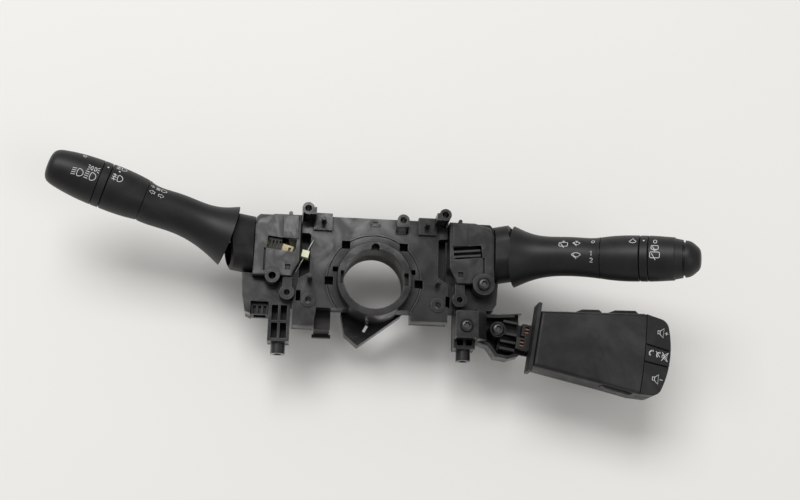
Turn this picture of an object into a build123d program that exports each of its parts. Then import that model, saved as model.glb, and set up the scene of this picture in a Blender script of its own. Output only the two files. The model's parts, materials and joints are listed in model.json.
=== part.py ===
from build123d import *
import os
from math import cos, radians, sin, sqrt, tan

# Combination stalk switch: a moulded carrier with the column collar, a light
# switch module on the left, a wiper switch module on the right and an audio
# satellite below the wiper stalk. Row frame, in millimetres: X to the
# driver's right, Y up the face of the switch, Z towards the driver. The Z
# axis is the column bore's axis, and z = 0 is the collar's rear face.

os.makedirs("parts", exist_ok=True)

left = -1
right = 1

# Fits between pieces
running_gap = 0.06
sliding_gap = 0.35
seam_gap = 0.3

# Collar and carrier plate
bore_radius = 19.75
collar_wall = 4.5
collar_length = 32.0
annulus_radius = 31.0
annulus_rise = 0.8
plate_front = 24.0
plate_wall = 2.5
plate_depth = 14.0
plate_half_width = 44.0
plate_top = 41.8
plate_bottom = -18.8
skirt_wall = 2.0
tab_rise = 1.7
clip_windows = [(18.8, 23.2, 5.5), (29.1, -1.1, 5.5), (25.2, 6.6, 3.4)]
well_depth = 9.0
well_wall = 1.2
key_width = 5.4
key_depth = 6.0

# Guide behind the collar
guide_back = -12.0
guide_wall = 2.0
guide_outline = [(-20.4, -13.9), (-16.9, -31.2), (-8.1, -38.6), (25.1, -13.3)]

# Bosses and posts on the carrier
boss_radius = 3.95
boss_bore_radius = 2.2
boss_y = 42.3
boss_front = 40.0
middle_boss_x = 17.5
middle_boss_y = 39.0
middle_boss_front = 34.0
post_radius = 1.7
post_height = 12.0
low_boss_y = -14.3
low_boss_radius = 4.6

# Switch modules
module_gap = 4.3
module_width = 29.7
module_top = 40.4
module_base = -0.6
module_front = 30.0
cover_wall = 2.5
case_wall = 2.0
module_back = -28.0
case_step = 12.0
case_inset = 3.0
corner_cut = 10.4
board_wall = 1.6

# Wing beams and towers of the carrier
wing_front = 22.0
wing_depth = 20.0
wing_bottom = -16.0
cheek_reach = 7.0
cheek_top = 2.4
tower_width = 13.8
tower_bottom = -41.4
tower_depth = 14.0
tower_rib = 1.6
stub_radius = 4.7
stub_length = 7.3
stub_bore_radius = 2.4
stub_bore_depth = 5.6
wing_pad_y = -10.7
wing_pad_radius = 4.8
wing_pad_front = 28.0
wing_pad_bore = 2.0

# Plug sockets under the wings
plug_width = 11.0
plug_length = {left: 7.4, right: 9.4}
plug_height = {left: 14.0, right: 20.0}
plug_wall = 1.6
pin_length = 1.8

# Loom socket under the plate
harness_x = -32.0
harness_y = -23.7
harness_width = 10.4
harness_height = 13.7
harness_wall = 1.5
harness_back = -14.0
harness_reach = 12.0

# Stalks: where they pivot, how they lie and how far they go
pivot_inset = 5.6
pivot_y = 21.8
stalk_z = 16.0
neutral_angle = 6.15
throw_angle = 9.8
lean_angle = {left: 12.5, right: 21.5}
core_radius = 6.0
core_bore_radius = 3.5
sleeve_start = {left: 23.4, right: 21.4}
sleeve_length = {left: 58.4, right: 56.4}
ring_length = 25.2
ring_land = 5.0
band_length = 5.2
knob_length = 32.4
flare_radius = 20.1
waist_radius = 12.7
seam_radius = 13.4
crest_radius = 14.7
flare_shift = {left: -1.7, right: 0.0}
waist_shift = {left: -0.3, right: 0.7}
skin_wall = 2.0
neck_radius = 26.5
neck_top = 17.8
neck_low = 19.2
neck_half_depth = 14.0
neck_corner = 13.0
neck_wall = 2.0

# Pivot cradle, detent and their fits
cradle_half_width = 9.5
cradle_half_height = 7.2
cradle_half_length = 6.5
cradle_wall = 2.0
trunnion_radius = 3.0
trunnion_seat = 1.5
trunnion_length = 9.5
lever_pin_radius = 2.5
lever_square = 7.0
lever_tail = 14.0
nose_reach = 16.9
plunger_radius = 1.8
cam_half_width = 7.0

# Cancelling pawl beside the light module
pawl_y = 15.2
pawl_back = 22.3
pawl_size = 4.6
pawl_pin_radius = 0.9
pawl_wire_radius = 0.4

# Trip button in the end of the wiper knob
button_start = 22.8
button_travel = 1.2
button_skirt_radius = 10.6

# Audio satellite
satellite_y = -33.7
satellite_angle = -9.1
satellite_front = 34.0
satellite_depth = 25.0
satellite_seam = 21.0
satellite_wall = 2.0
satellite_length = 87.0
satellite_edge = 2.5
key_seam = 70.0
key_travel = 0.8
flange_half = 22.4
flange_wall = 2.2
wheel_radius = 11.5
wheel_width = 9.0
wheel_u = 44.0
wheel_z = 18.0
axle_radius = 1.6

# Screws
screw_head_radius = 4.1
screw_head_height = 2.6
screw_radius = 2.0
screw_bite = 9.0
bracket_screw_y = -28.2
bracket_top = -18.4
bracket_bottom = -36.0
bracket_front = 32.0
bracket_wall = 2.2
tray_back = 6.0
tray_wall_height = 13.0
tongue_back = 14.0
tongue_front = 25.0
arm_screw_u = -24.4
arm_screw_v = 1.5
plug_root = 11.5
plug_windows = [(-5.4, 4.6), (-7.4, -4.4)]

# Derived places
module_in = plate_half_width + module_gap
module_out = module_in + module_width
pivot_x = module_out - pivot_inset
boss_x = plate_half_width + 0.2
post_places = [(plate_half_width - 10.3, 37.3), (plate_half_width - 2.6, -1.0)]
low_boss_x = plate_half_width - 2.2
pawl_x = -(plate_half_width + 0.9)
wing_pad_x = module_in + 7.3
tower_x = module_in + 11.5
satellite_x = module_out + 27.0
floor_z = module_back + case_wall
step_z = module_back + case_step
case_front = module_front - cover_wall
plate_back = plate_front - plate_depth
collar_back = 0.0
collar_front = collar_back + collar_length
collar_radius = bore_radius + collar_wall
sleeve_end = {side: sleeve_start[side] + sleeve_length[side] for side in (left, right)}
ring_end = {side: sleeve_end[side] + ring_length for side in (left, right)}
band_end = {side: ring_end[side] + band_length for side in (left, right)}
knob_end = {side: band_end[side] + knob_length for side in (left, right)}
rest_angle = {left: neutral_angle + throw_angle, right: neutral_angle - throw_angle}
module_boss_x = {left: module_out - 12.7, right: module_out - 7.6}
module_boss_radius = {left: 4.7, right: 7.0}
module_boss_front = {left: 32.0, right: 33.4}
module_boss_y = -1.0
pillar_radius = 4.2
prefix = {left: "light", right: "wiper"}
plug_x = module_out - plug_width / 2
plug_front = {left: wing_front - 4, right: tray_back - 1}
wire_angle = 64


def save(piece, node):
    """Label a finished piece and write it as one STEP file."""
    piece.part.label = node
    export_step(piece.part, f"parts/{node}.step")


def sided(side, points):
    """Mirror points given for the right side onto the wanted side."""
    return [(side * x, y) for x, y in points]


def heading(side, angle, lean):
    """Unit vector along a stalk that is raised by an angle and leans to the driver."""
    turn, rise = radians(angle), radians(lean)
    return Vector(side * cos(turn) * cos(rise), sin(turn) * cos(rise), sin(rise))


def cross_plane(side, angle, along, lean=0):
    """Plane square to a stalk's axis, at a distance from its pivot."""
    ahead = heading(side, angle, lean)
    upward = (-side * sin(radians(angle)), cos(radians(angle)), 0)
    place = Vector(side * pivot_x, pivot_y, stalk_z) + ahead * along
    return Plane(origin=place, x_dir=upward, z_dir=ahead)


def stalk_section(side, along):
    """Cross plane of the stalk as it lies at rest, leaning to the driver."""
    return cross_plane(side, rest_angle[side], along, lean_angle[side])


def stalk_profile(side):
    """Plane through the resting stalk's axis, its x running out from the pivot."""
    across = stalk_section(side, 0)
    return Plane(origin=across.origin, x_dir=across.z_dir, z_dir=across.y_dir)


def flat_plane(side, angle, height):
    """Plane facing the driver, its x running out along the stalk from the pivot."""
    c, s = cos(radians(angle)), sin(radians(angle))
    return Plane(origin=(side * pivot_x, pivot_y, height), x_dir=(side * c, s, 0), z_dir=(0, 0, 1))


def pin_plane(side, angle):
    """Plane through the pivot, its normal along the lever's cross pin."""
    c, s = cos(radians(angle)), sin(radians(angle))
    return Plane(origin=(side * pivot_x, pivot_y, stalk_z), x_dir=(0, 0, 1), z_dir=(-side * s, c, 0))


def stalk_axis(side):
    """Centre line of a stalk as it lies at rest."""
    plane = stalk_section(side, 0)
    return Axis(plane.origin, plane.z_dir)


def satellite_plane(height):
    """Plane facing the driver, its x running along the satellite."""
    turn = radians(satellite_angle)
    return Plane(
        origin=(satellite_x, satellite_y, height), x_dir=(cos(turn), sin(turn), 0), z_dir=(0, 0, 1)
    )


# Carrier
def plate_outline():
    """Outline of the carrier plate, with its lower ears."""
    return [
        (-plate_half_width, plate_top),
        (plate_half_width, plate_top),
        (plate_half_width, 30.5),
        (plate_half_width - 2.4, 29),
        (plate_half_width - 2.4, 4),
        (module_in, 0),
        (module_in, plate_bottom - 6.5),
        (24.4, plate_bottom - 6.5),
        (24.4, plate_bottom),
        (-36.5, plate_bottom),
        (-38, plate_bottom - 12.2),
        (-module_in - 3.4, plate_bottom - 12.2),
        (-module_in - 3.4, wing_bottom),
        (-module_in, 0),
        (-plate_half_width + 2.4, 4),
        (-plate_half_width + 2.4, 29),
        (-plate_half_width, 30.5),
    ]


def wing_outline(side):
    """Outline of a wing beam, with its sloping outer cheek."""
    cheek = cheek_reach if side == left else cheek_reach - 3.5
    foot = wing_bottom - 8 if side == left else wing_bottom
    return sided(side, [
        (module_in - 2, module_base),
        (module_out + seam_gap, module_base),
        (module_out + seam_gap, cheek_top),
        (module_out + cheek, cheek_top),
        (module_out + cheek - 1, wing_bottom + 4),
        (module_out + cheek - 3, foot + 1.5),
        (module_out + seam_gap, foot),
        (module_out + seam_gap, wing_bottom),
        (module_in - 2, wing_bottom),
    ])


def make_carrier():
    """Central plate with collar, bosses, wing beams and towers, in one moulding."""
    with BuildPart() as carrier:
        with BuildSketch(Plane.XY.offset(plate_back)):
            Polygon(*plate_outline(), align=None)
        extrude(amount=plate_depth)
        with BuildSketch(Plane.XY.offset(plate_back)):
            Polygon(*plate_outline(), align=None)
            offset(amount=-skirt_wall)
        extrude(amount=plate_depth - plate_wall, mode=Mode.SUBTRACT)

        # Stiffening ribs behind the plate
        rib_height = plate_depth - plate_wall
        with BuildSketch(Plane.XY.offset(plate_front - plate_wall - rib_height + 2)):
            with Locations((0, 30), (0, 0)):
                Rectangle(2 * plate_half_width - 6, 1.6)
            with Locations((14 - plate_half_width, 11), (plate_half_width - 14, 11)):
                Rectangle(1.6, 2 * 29)
        extrude(amount=rib_height - 2)

        # Blind wells behind the clip windows
        with BuildSketch(Plane.XY.offset(plate_back)):
            for x, y, size in clip_windows:
                with Locations((-x, y), (x, y)):
                    Rectangle(size + 2 * well_wall, size + 2 * well_wall)
        extrude(amount=rib_height)

        # Raised tabs at the top corners and side panels beside the modules
        for side in (left, right):
            with BuildSketch(Plane.XY.offset(plate_back)):
                with Locations((side * (plate_half_width - 9.9), plate_top + tab_rise - 5.7)):
                    Rectangle(11.8, 11.4)
            extrude(amount=plate_depth + 2)
            with BuildSketch(Plane.XY.offset(plate_back + 6)):
                with Locations((side * (plate_half_width + 0.5), 34)):
                    Rectangle(6.2, 8)
            extrude(amount=plate_depth - 6)

            # Web that closes the trench between plate and module
            with BuildSketch(Plane.XY.offset(plate_back)):
                with Locations((side * (module_in - seam_gap), module_base)):
                    Rectangle(module_in - seam_gap - plate_half_width + 3.8, 40,
                              align=(Align.MAX if side == right else Align.MIN, Align.MIN))
            extrude(amount=skirt_wall)

        # Shallow ring around the collar, cut off at the plate's lower edge
        with BuildSketch(Plane.XY.offset(plate_front)):
            Circle(annulus_radius)
            with Locations((0, plate_bottom)):
                Rectangle(3 * annulus_radius, 4 * annulus_radius, align=(Align.CENTER, Align.MIN),
                          mode=Mode.INTERSECT)
        extrude(amount=annulus_rise)

        # Collar tube
        with BuildSketch(Plane.XY.offset(collar_back)):
            Circle(collar_radius)
        extrude(amount=collar_length)
        chamfer(carrier.faces().sort_by(Axis.Z)[-1].edges(), 0.6)

        # Boss tubes and their webs
        with BuildSketch(Plane.XY.offset(plate_back)):
            with Locations((-boss_x, boss_y), (boss_x, boss_y)):
                Circle(boss_radius)
            with Locations((-boss_x + 2.2, boss_y - 1.4), (boss_x - 2.2, boss_y - 1.4)):
                Rectangle(6.4, 4.6)
        extrude(amount=boss_front - plate_back)
        with BuildSketch(Plane.XY.offset(plate_back)):
            with Locations((middle_boss_x, middle_boss_y)):
                Circle(boss_radius)
            with Locations((middle_boss_x, middle_boss_y - 2.2)):
                Rectangle(2 * boss_radius, 4.4)
        extrude(amount=middle_boss_front - plate_back)
        with BuildSketch(Plane.XY.offset(plate_back)):
            with Locations((-low_boss_x, low_boss_y), (low_boss_x, low_boss_y)):
                Circle(low_boss_radius)
        extrude(amount=plate_depth + annulus_rise)

        # Locating posts
        with BuildSketch(Plane.XY.offset(plate_front)):
            for x, y in post_places:
                with Locations((-x, y), (x, y)):
                    Circle(post_radius)
        extrude(amount=post_height, taper=2)

        # Wing beams, open behind
        for side in (left, right):
            with BuildSketch(Plane.XY.offset(wing_front - wing_depth)):
                Polygon(*wing_outline(side), align=None)
            extrude(amount=wing_depth)
            with BuildSketch(Plane.XY.offset(wing_front - wing_depth)):
                Polygon(*wing_outline(side), align=None)
                offset(amount=-skirt_wall, kind=Kind.INTERSECTION)
            extrude(amount=wing_depth - skirt_wall, mode=Mode.SUBTRACT)
            with BuildSketch(Plane.XY.offset(wing_front - wing_depth)):
                with Locations((side * wing_pad_x, wing_pad_y)):
                    Circle(wing_pad_radius)
                with Locations((side * wing_pad_x, (wing_pad_y + module_base) / 2)):
                    Rectangle(1.3 * wing_pad_radius, module_base - wing_pad_y)
            extrude(amount=wing_pad_front - wing_front + wing_depth)
            with BuildSketch(Plane.XY.offset(wing_front - wing_depth)):
                with Locations((side * module_boss_x[side], module_boss_y)):
                    Circle(pillar_radius)
            extrude(amount=wing_depth)

        # Towers with four front cells and a round stub at the foot
        tower_height = wing_bottom - tower_bottom
        for side in (left, right):
            with BuildSketch(Plane.XY.offset(wing_front - tower_depth)):
                with Locations((side * tower_x, wing_bottom + 1)):
                    Rectangle(tower_width, tower_height + 1, align=(Align.CENTER, Align.MAX))
            extrude(amount=tower_depth)
            cell_w = (tower_width - 2 * skirt_wall - tower_rib) / 2
            cell_h = (tower_height - 2 * skirt_wall - tower_rib) / 2
            with BuildSketch(Plane.XY.offset(wing_front)):
                with Locations((side * tower_x, wing_bottom - tower_height / 2)):
                    with GridLocations(cell_w + tower_rib, cell_h + tower_rib, 2, 2):
                        Rectangle(cell_w, cell_h)
            extrude(amount=-tower_depth + 4, mode=Mode.SUBTRACT)
            foot = Plane(
                origin=(side * tower_x, tower_bottom, wing_front - tower_depth / 2),
                x_dir=(1, 0, 0), z_dir=(0, -1, 0),
            )
            with BuildSketch(foot):
                Circle(stub_radius)
            extrude(amount=stub_length)
            with BuildSketch(foot.offset(stub_length)):
                Circle(stub_bore_radius)
            extrude(amount=-stub_bore_depth, mode=Mode.SUBTRACT)

        # Screw boss in the right tower, under the satellite's bracket
        with BuildSketch(Plane.XY.offset(wing_front - tower_depth)):
            with Locations((tower_x, bracket_screw_y)):
                Circle(pillar_radius)
        extrude(amount=tower_depth)
        with BuildSketch(Plane.XY.offset(wing_front - tower_depth)):
            with Locations((tower_x, bracket_screw_y)):
                Circle(screw_radius)
        extrude(amount=tower_depth, mode=Mode.SUBTRACT)

        # Column bore with its key notch and two side notches
        with BuildSketch(Plane.XY.offset(collar_back)):
            Circle(bore_radius)
        extrude(amount=collar_length, mode=Mode.SUBTRACT)
        with BuildSketch(Plane.XY.offset(collar_front - key_depth)):
            with Locations((0, bore_radius - 1)):
                SlotCenterPoint((0, 0), (0, 1.8), key_width)
            with Locations((-bore_radius, 0), (bore_radius, 0)):
                Rectangle(4.4, 8.6)
        extrude(amount=key_depth, mode=Mode.SUBTRACT)

        # Holes of the bosses
        with BuildSketch(Plane.XY.offset(plate_back)):
            with Locations((-boss_x, boss_y), (boss_x, boss_y), (middle_boss_x, middle_boss_y),
                           (-low_boss_x, low_boss_y), (low_boss_x, low_boss_y)):
                Circle(boss_bore_radius)
        extrude(amount=boss_front - plate_back, mode=Mode.SUBTRACT)
        with BuildSketch(Plane.XY.offset(wing_front - wing_depth)):
            with Locations((-wing_pad_x, wing_pad_y), (wing_pad_x, wing_pad_y)):
                Circle(wing_pad_bore)
            for side in (left, right):
                with Locations((side * module_boss_x[side], module_boss_y)):
                    Circle(screw_radius)
        extrude(amount=wing_depth + 6, mode=Mode.SUBTRACT)

        # Pockets of the clip windows, the groove around the collar and the wing slots
        with BuildSketch(Plane.XY.offset(plate_front - well_depth)):
            for x, y, size in clip_windows:
                with Locations((-x, y), (x, y)):
                    Rectangle(size, size)
        extrude(amount=well_depth + annulus_rise, mode=Mode.SUBTRACT)
        with BuildSketch(Plane.XY.offset(plate_front)):
            Circle(annulus_radius - 0.8)
            Circle(annulus_radius - 1.4, mode=Mode.SUBTRACT)
        extrude(amount=annulus_rise, mode=Mode.SUBTRACT)
        with BuildSketch(Plane.XY.offset(plate_back)):
            with Locations((-module_in, -11.6), (module_in, -11.6)):
                Rectangle(3.0, 7.0)
        extrude(amount=plate_depth + annulus_rise, mode=Mode.SUBTRACT)

        # Slots through the plate's upper strip
        with BuildSketch(Plane.XY.offset(plate_front - plate_wall)):
            with Locations((0, 37)):
                Rectangle(7.4, 2.2)
            with Locations((0, 38.6)):
                Rectangle(3.2, 2.6)
            with Locations((middle_boss_x + 0.6, middle_boss_y - boss_radius - 1.6)):
                Rectangle(7.4, 2.4)
        extrude(amount=plate_wall + annulus_rise, mode=Mode.SUBTRACT)
    return carrier


def make_column_guide():
    """Funnel-shaped guide behind the collar that leads the column in."""
    with BuildPart() as guide:
        with BuildSketch(Plane.XY.offset(guide_back)) as shape:
            Polygon(*guide_outline, align=None)
            fillet(shape.vertices(), 1.2)
        extrude(amount=collar_back - guide_back)
        with BuildSketch(Plane.XY.offset(guide_back)):
            Polygon(*guide_outline, align=None)
            offset(amount=-guide_wall, kind=Kind.INTERSECTION)
            with Locations((2, -10)):
                Rectangle(50, 14)
        extrude(amount=collar_back - guide_back - guide_wall, mode=Mode.SUBTRACT)
        with BuildSketch(Plane.XY.offset(guide_back)):
            Circle(bore_radius + 1.0)
        extrude(amount=collar_back - guide_back, mode=Mode.SUBTRACT)
        with BuildSketch(Plane.XY.offset(collar_back)):
            with Locations(Location((-3.3, -27), 60)):
                Rectangle(5, 1.8)
        extrude(amount=-3, mode=Mode.SUBTRACT)
    return guide


def make_harness_socket():
    """Deep socket under the plate for the loom's plug, open at the back."""
    with BuildPart() as socket:
        with BuildSketch(Plane.XY.offset(harness_back)) as body:
            with Locations((harness_x, harness_y)):
                Rectangle(harness_width, harness_height)
            fillet(body.vertices(), 1.0)
        extrude(amount=plate_back - harness_back)
        with BuildSketch(Plane.XY.offset(harness_back)):
            with Locations((harness_x, harness_y)):
                Rectangle(harness_width - 2 * harness_wall, harness_height - 2 * harness_wall)
        extrude(amount=harness_reach, mode=Mode.SUBTRACT)

        # Lip around the mouth
        with BuildSketch(Plane.XY.offset(harness_back + 2)):
            with Locations((harness_x, harness_y - harness_height / 2)):
                Rectangle(harness_width + 2, 2.0, align=(Align.CENTER, Align.MAX))
        extrude(amount=4)
    return socket


# Modules
def case_outline(side):
    """Outline of a module's case in plan."""
    return sided(side, [
        (module_in + corner_cut / 2, module_base + seam_gap),
        (module_out, module_base + seam_gap),
        (module_out, module_top - 3),
        (module_out - 3, module_top),
        (module_in, module_top),
        (module_in, module_base + seam_gap + corner_cut),
    ])


def cover_outline(side):
    """Outline of a module's cover, its outer top corner cut off."""
    return sided(side, [
        (module_in + corner_cut / 2, module_base + seam_gap),
        (module_out, module_base + seam_gap),
        (module_out, module_top - 8),
        (module_out - 3, module_top - 3),
        (module_out - 13, module_top),
        (module_in, module_top),
        (module_in, module_base + seam_gap + corner_cut),
    ])


def make_case(side):
    """Open-fronted case with the pivot pedestal, the stalk's port and a board ledge."""
    with BuildPart() as case:
        with BuildSketch(Plane.XY.offset(step_z)):
            Polygon(*case_outline(side), align=None)
        extrude(amount=case_front - step_z)
        with BuildSketch(Plane.XY.offset(module_back)):
            Polygon(*case_outline(side), align=None)
            offset(amount=-case_inset)
        extrude(amount=case_step)
        with BuildSketch(Plane.XY.offset(step_z)):
            Polygon(*case_outline(side), align=None)
            offset(amount=-case_wall)
        extrude(amount=case_front - step_z, mode=Mode.SUBTRACT)
        with BuildSketch(Plane.XY.offset(floor_z)):
            Polygon(*case_outline(side), align=None)
            offset(amount=-case_inset - case_wall)
        extrude(amount=step_z - floor_z, mode=Mode.SUBTRACT)

        # Pedestal under the cradle, joined to the outer wall by a web
        lean = radians(lean_angle[side])
        cradle_foot = cradle_half_height * cos(lean) + cradle_half_length * sin(lean)
        pedestal_top = stalk_z - cradle_foot - seam_gap
        with BuildSketch(Plane.XY.offset(floor_z)):
            with Locations((side * pivot_x, pivot_y)):
                Circle(trunnion_radius + 2)
            with Locations((side * (pivot_x + pivot_inset / 2), pivot_y)):
                Rectangle(pivot_inset, 3)
        extrude(amount=pedestal_top - floor_z)
        with BuildSketch(Plane.XY.offset(pedestal_top)):
            with Locations((side * pivot_x, pivot_y)):
                Circle(trunnion_radius + running_gap)
        extrude(amount=-10, mode=Mode.SUBTRACT)

        # Scallop around the carrier's screw pillar
        with BuildSketch(Plane.XY.offset(floor_z)):
            with Locations((side * module_boss_x[side], module_boss_y)):
                Circle(pillar_radius + seam_gap + case_wall)
            Polygon(*case_outline(side), align=None, mode=Mode.INTERSECT)
        extrude(amount=case_front - floor_z)
        with BuildSketch(Plane.XY.offset(module_back)):
            with Locations((side * module_boss_x[side], module_boss_y)):
                Circle(pillar_radius + seam_gap)
        extrude(amount=case_front - module_back, mode=Mode.SUBTRACT)

        # Port for the stalk in the outer wall
        port = Plane(origin=(side * module_out, pivot_y, stalk_z), x_dir=(0, 1, 0), z_dir=(-side, 0, 0))
        with BuildSketch(port):
            Rectangle(30, 21)
        extrude(amount=case_wall + 1.5, mode=Mode.SUBTRACT)
        if side == left:
            # Ledge that carries the cancelling pawl
            with BuildSketch(Plane.XY.offset(pawl_back - seam_gap)):
                with Locations((-module_in, pawl_y)):
                    Rectangle(6.2, 6.4, align=(Align.MIN, Align.CENTER))
                with Locations((pawl_x, pawl_y)):
                    Circle(pawl_pin_radius + running_gap, mode=Mode.SUBTRACT)
            extrude(amount=-4)
    return case


def window_points(side):
    """Corners of the cover's window, set square to the neutral stalk."""
    return [(-21.5, -4.2 * side), (-2.8, -4.2 * side), (-2.8, 4.2 * side), (-21.5, 4.2 * side)]


def make_cover(side):
    """Front cover with its window, raised outer strip and screw ear."""
    ear_radius = module_boss_radius[side]
    with BuildPart() as cover:
        with BuildSketch(Plane.XY.offset(case_front)):
            Polygon(*cover_outline(side), align=None)
        extrude(amount=cover_wall)
        outer_edges = cover.faces().sort_by(Axis.Z)[-1].edges()
        chamfer(outer_edges, 0.5)

        # Raised block at the top, next to the plate
        with BuildSketch(Plane.XY.offset(case_front)):
            with Locations((side * (module_in + 6.5), module_top - 8.5)):
                Rectangle(9.5, 15)
        extrude(amount=cover_wall + 1.0)

        # Screw ear over the carrier's wing
        with BuildSketch(Plane.XY.offset(wing_front)):
            with Locations((side * module_boss_x[side], module_boss_y)):
                Circle(ear_radius)
        extrude(amount=module_boss_front[side] - wing_front)
        with BuildSketch(Plane.XY.offset(wing_front)):
            Polygon(*sided(side, [
                (module_in - 6, module_base),
                (module_out + 2, module_base),
                (module_out + 2, module_top),
                (module_in - 6, module_top),
            ]), align=None)
        extrude(amount=case_front - wing_front, mode=Mode.SUBTRACT)

        # Screw hole through the ear
        with BuildSketch(Plane.XY.offset(wing_front)):
            with Locations((side * module_boss_x[side], module_boss_y)):
                Circle(screw_radius + 0.45)
        extrude(amount=module_boss_front[side] - wing_front, mode=Mode.SUBTRACT)

        # Slot beside the outer strip
        with BuildSketch(Plane.XY.offset(case_front + 1)):
            with Locations((side * (module_out - 7.2), 10)):
                Rectangle(1.4, 15)
            with Locations((side * (module_in + 7.5), module_base + 6)):
                Rectangle(3.6, 3.6)
        extrude(amount=cover_wall + 2, mode=Mode.SUBTRACT)

        # Window over the contacts
        with BuildSketch(flat_plane(side, neutral_angle, case_front)):
            Polygon(*window_points(side), align=None)
        extrude(amount=cover_wall + 2, mode=Mode.SUBTRACT)

        # Blind seat for the cradle's upper trunnion
        with BuildSketch(Plane.XY.offset(case_front)):
            with Locations((side * pivot_x, pivot_y)):
                Circle(trunnion_radius + running_gap)
        extrude(amount=trunnion_seat, mode=Mode.SUBTRACT)

        # Moulding peg on the top edge
        with BuildSketch(Plane.XY.offset(case_front)):
            with Locations((side * (module_in + 7), module_top + 0.8)):
                Circle(1.3)
        extrude(amount=cover_wall)
    return cover


def make_neck(side):
    """Round-sided guard over the stalk's root, its mouth a ball zone about the pivot."""
    half = (neck_top + neck_low) / 2
    middle = (neck_top - neck_low) / 2
    mouth = cross_plane(side, neutral_angle, -2, lean_angle[side])
    with BuildPart() as neck:
        with BuildSketch(mouth):
            with Locations((middle, 0)):
                RectangleRounded(2 * half, 2 * neck_half_depth, neck_corner)
                RectangleRounded(2 * (half - neck_wall), 2 * (neck_half_depth - neck_wall),
                                 neck_corner - neck_wall, mode=Mode.SUBTRACT)
        extrude(amount=neck_radius + 2)
        with Locations((side * pivot_x, pivot_y, stalk_z)):
            Sphere(neck_radius, mode=Mode.INTERSECT)
        with Locations((side * (module_out - 50), pivot_y, stalk_z)):
            Box(100, 200, 200, mode=Mode.SUBTRACT)
    return neck


def make_board(side):
    """Circuit board lying on the case's step."""
    with BuildPart() as board:
        with BuildSketch(Plane.XY.offset(step_z)):
            Polygon(*case_outline(side), align=None)
            offset(amount=-case_wall - 0.2)
            with Locations((side * pivot_x, pivot_y)):
                Circle(trunnion_radius + 2.6, mode=Mode.SUBTRACT)
            with Locations((side * (pivot_x + pivot_inset / 2 + 0.5), pivot_y)):
                Rectangle(pivot_inset + 1, 4, mode=Mode.SUBTRACT)
            with Locations((side * module_boss_x[side], module_boss_y)):
                Circle(pillar_radius + case_wall + 2 * seam_gap, mode=Mode.SUBTRACT)
        extrude(amount=board_wall)
    return board


def plug_mouth(side, depth):
    """Plane facing down in a plug socket, at a depth below the wing."""
    middle = plug_front[side] - plug_height[side] / 2
    place = (side * plug_x, wing_bottom - seam_gap - depth, middle)
    return Plane(origin=place, x_dir=(1, 0, 0), z_dir=(0, -1, 0))


def make_plug_socket(side):
    """Plug socket below the module, with guide slots in its front face."""
    length, height = plug_length[side], plug_height[side]
    with BuildPart() as socket:
        with BuildSketch(plug_mouth(side, 0)):
            Rectangle(plug_width, height)
        extrude(amount=length)
        with BuildSketch(plug_mouth(side, length)):
            Rectangle(plug_width - 2 * plug_wall, height - 2 * plug_wall - 3)
        extrude(amount=plug_wall - length, mode=Mode.SUBTRACT)
        with BuildSketch(Plane.XY.offset(plug_front[side])):
            with Locations((side * plug_x, wing_bottom - length / 2 - 1)):
                with GridLocations(plug_width / 3.3, 1, 3, 1):
                    Rectangle(1.8, length - 2.6)
        extrude(amount=-plug_wall - 0.8, mode=Mode.SUBTRACT)
    return socket


def make_terminals(side):
    """Rows of terminal pins in the plug socket."""
    with BuildPart() as terminals:
        with BuildSketch(plug_mouth(side, plug_wall)):
            with GridLocations(plug_width / 4.2, plug_height[side] / 5, 3, 3):
                Rectangle(0.8, 0.8)
        extrude(amount=pin_length)
    return terminals


def make_detent_cam(side):
    """Block with the ball-shaped track that the detent plunger rides on."""
    with BuildPart() as cam:
        back = module_in + case_wall
        height = stalk_z - nose_reach * sin(radians(lean_angle[side] + 3))
        with Locations((side * (back + 4), pivot_y - 1.6, height)):
            Box(8, 2 * cam_half_width, 10.6)
        with Locations((side * pivot_x, pivot_y, stalk_z)):
            Sphere(nose_reach + seam_gap, mode=Mode.SUBTRACT)
    return cam


# Stalk pieces
def make_cradle(side):
    """Swinging cradle: turns about Z in the module and carries the lever's cross pin."""
    angle = rest_angle[side]
    lean = radians(lean_angle[side])
    inner_w = cradle_half_width - cradle_wall
    inner_h = cradle_half_height - cradle_wall
    seat = cradle_half_height / cos(lean) - trunnion_radius * tan(lean) - 0.3
    with BuildPart() as cradle:
        with BuildSketch(stalk_section(side, -cradle_half_length)):
            Rectangle(2 * cradle_half_width, 2 * cradle_half_height)
            Rectangle(2 * inner_w, 2 * inner_h, mode=Mode.SUBTRACT)
        extrude(amount=2 * cradle_half_length)
        with BuildSketch(Plane.XY.offset(stalk_z + seat)):
            with Locations((side * pivot_x, pivot_y)):
                Circle(trunnion_radius)
        extrude(amount=case_front + trunnion_seat - seam_gap - stalk_z - seat)
        with BuildSketch(Plane.XY.offset(stalk_z - seat)):
            with Locations((side * pivot_x, pivot_y)):
                Circle(trunnion_radius)
        extrude(amount=seat - cradle_half_height - trunnion_length)
        with BuildSketch(pin_plane(side, angle)):
            Circle(lever_pin_radius + running_gap)
        extrude(amount=cradle_half_width, both=True, mode=Mode.SUBTRACT)

        # Contact arm that shows in the cover's window
        arm_low = stalk_z + cradle_half_height - 1.0
        with BuildSketch(flat_plane(side, angle, arm_low)):
            with Locations((-1, 0)):
                Rectangle(19, 7.6, align=(Align.MAX, Align.CENTER))
        extrude(amount=1.6)
        if side == left:
            with BuildSketch(flat_plane(side, angle, arm_low + 1.6)):
                with Locations((-16.2, 0)):
                    Rectangle(7.2, 7.0)
                with Locations((-17.5, 0)):
                    Rectangle(1.6, 4.4, mode=Mode.SUBTRACT)
            extrude(amount=2.2)
    return cradle


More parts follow.
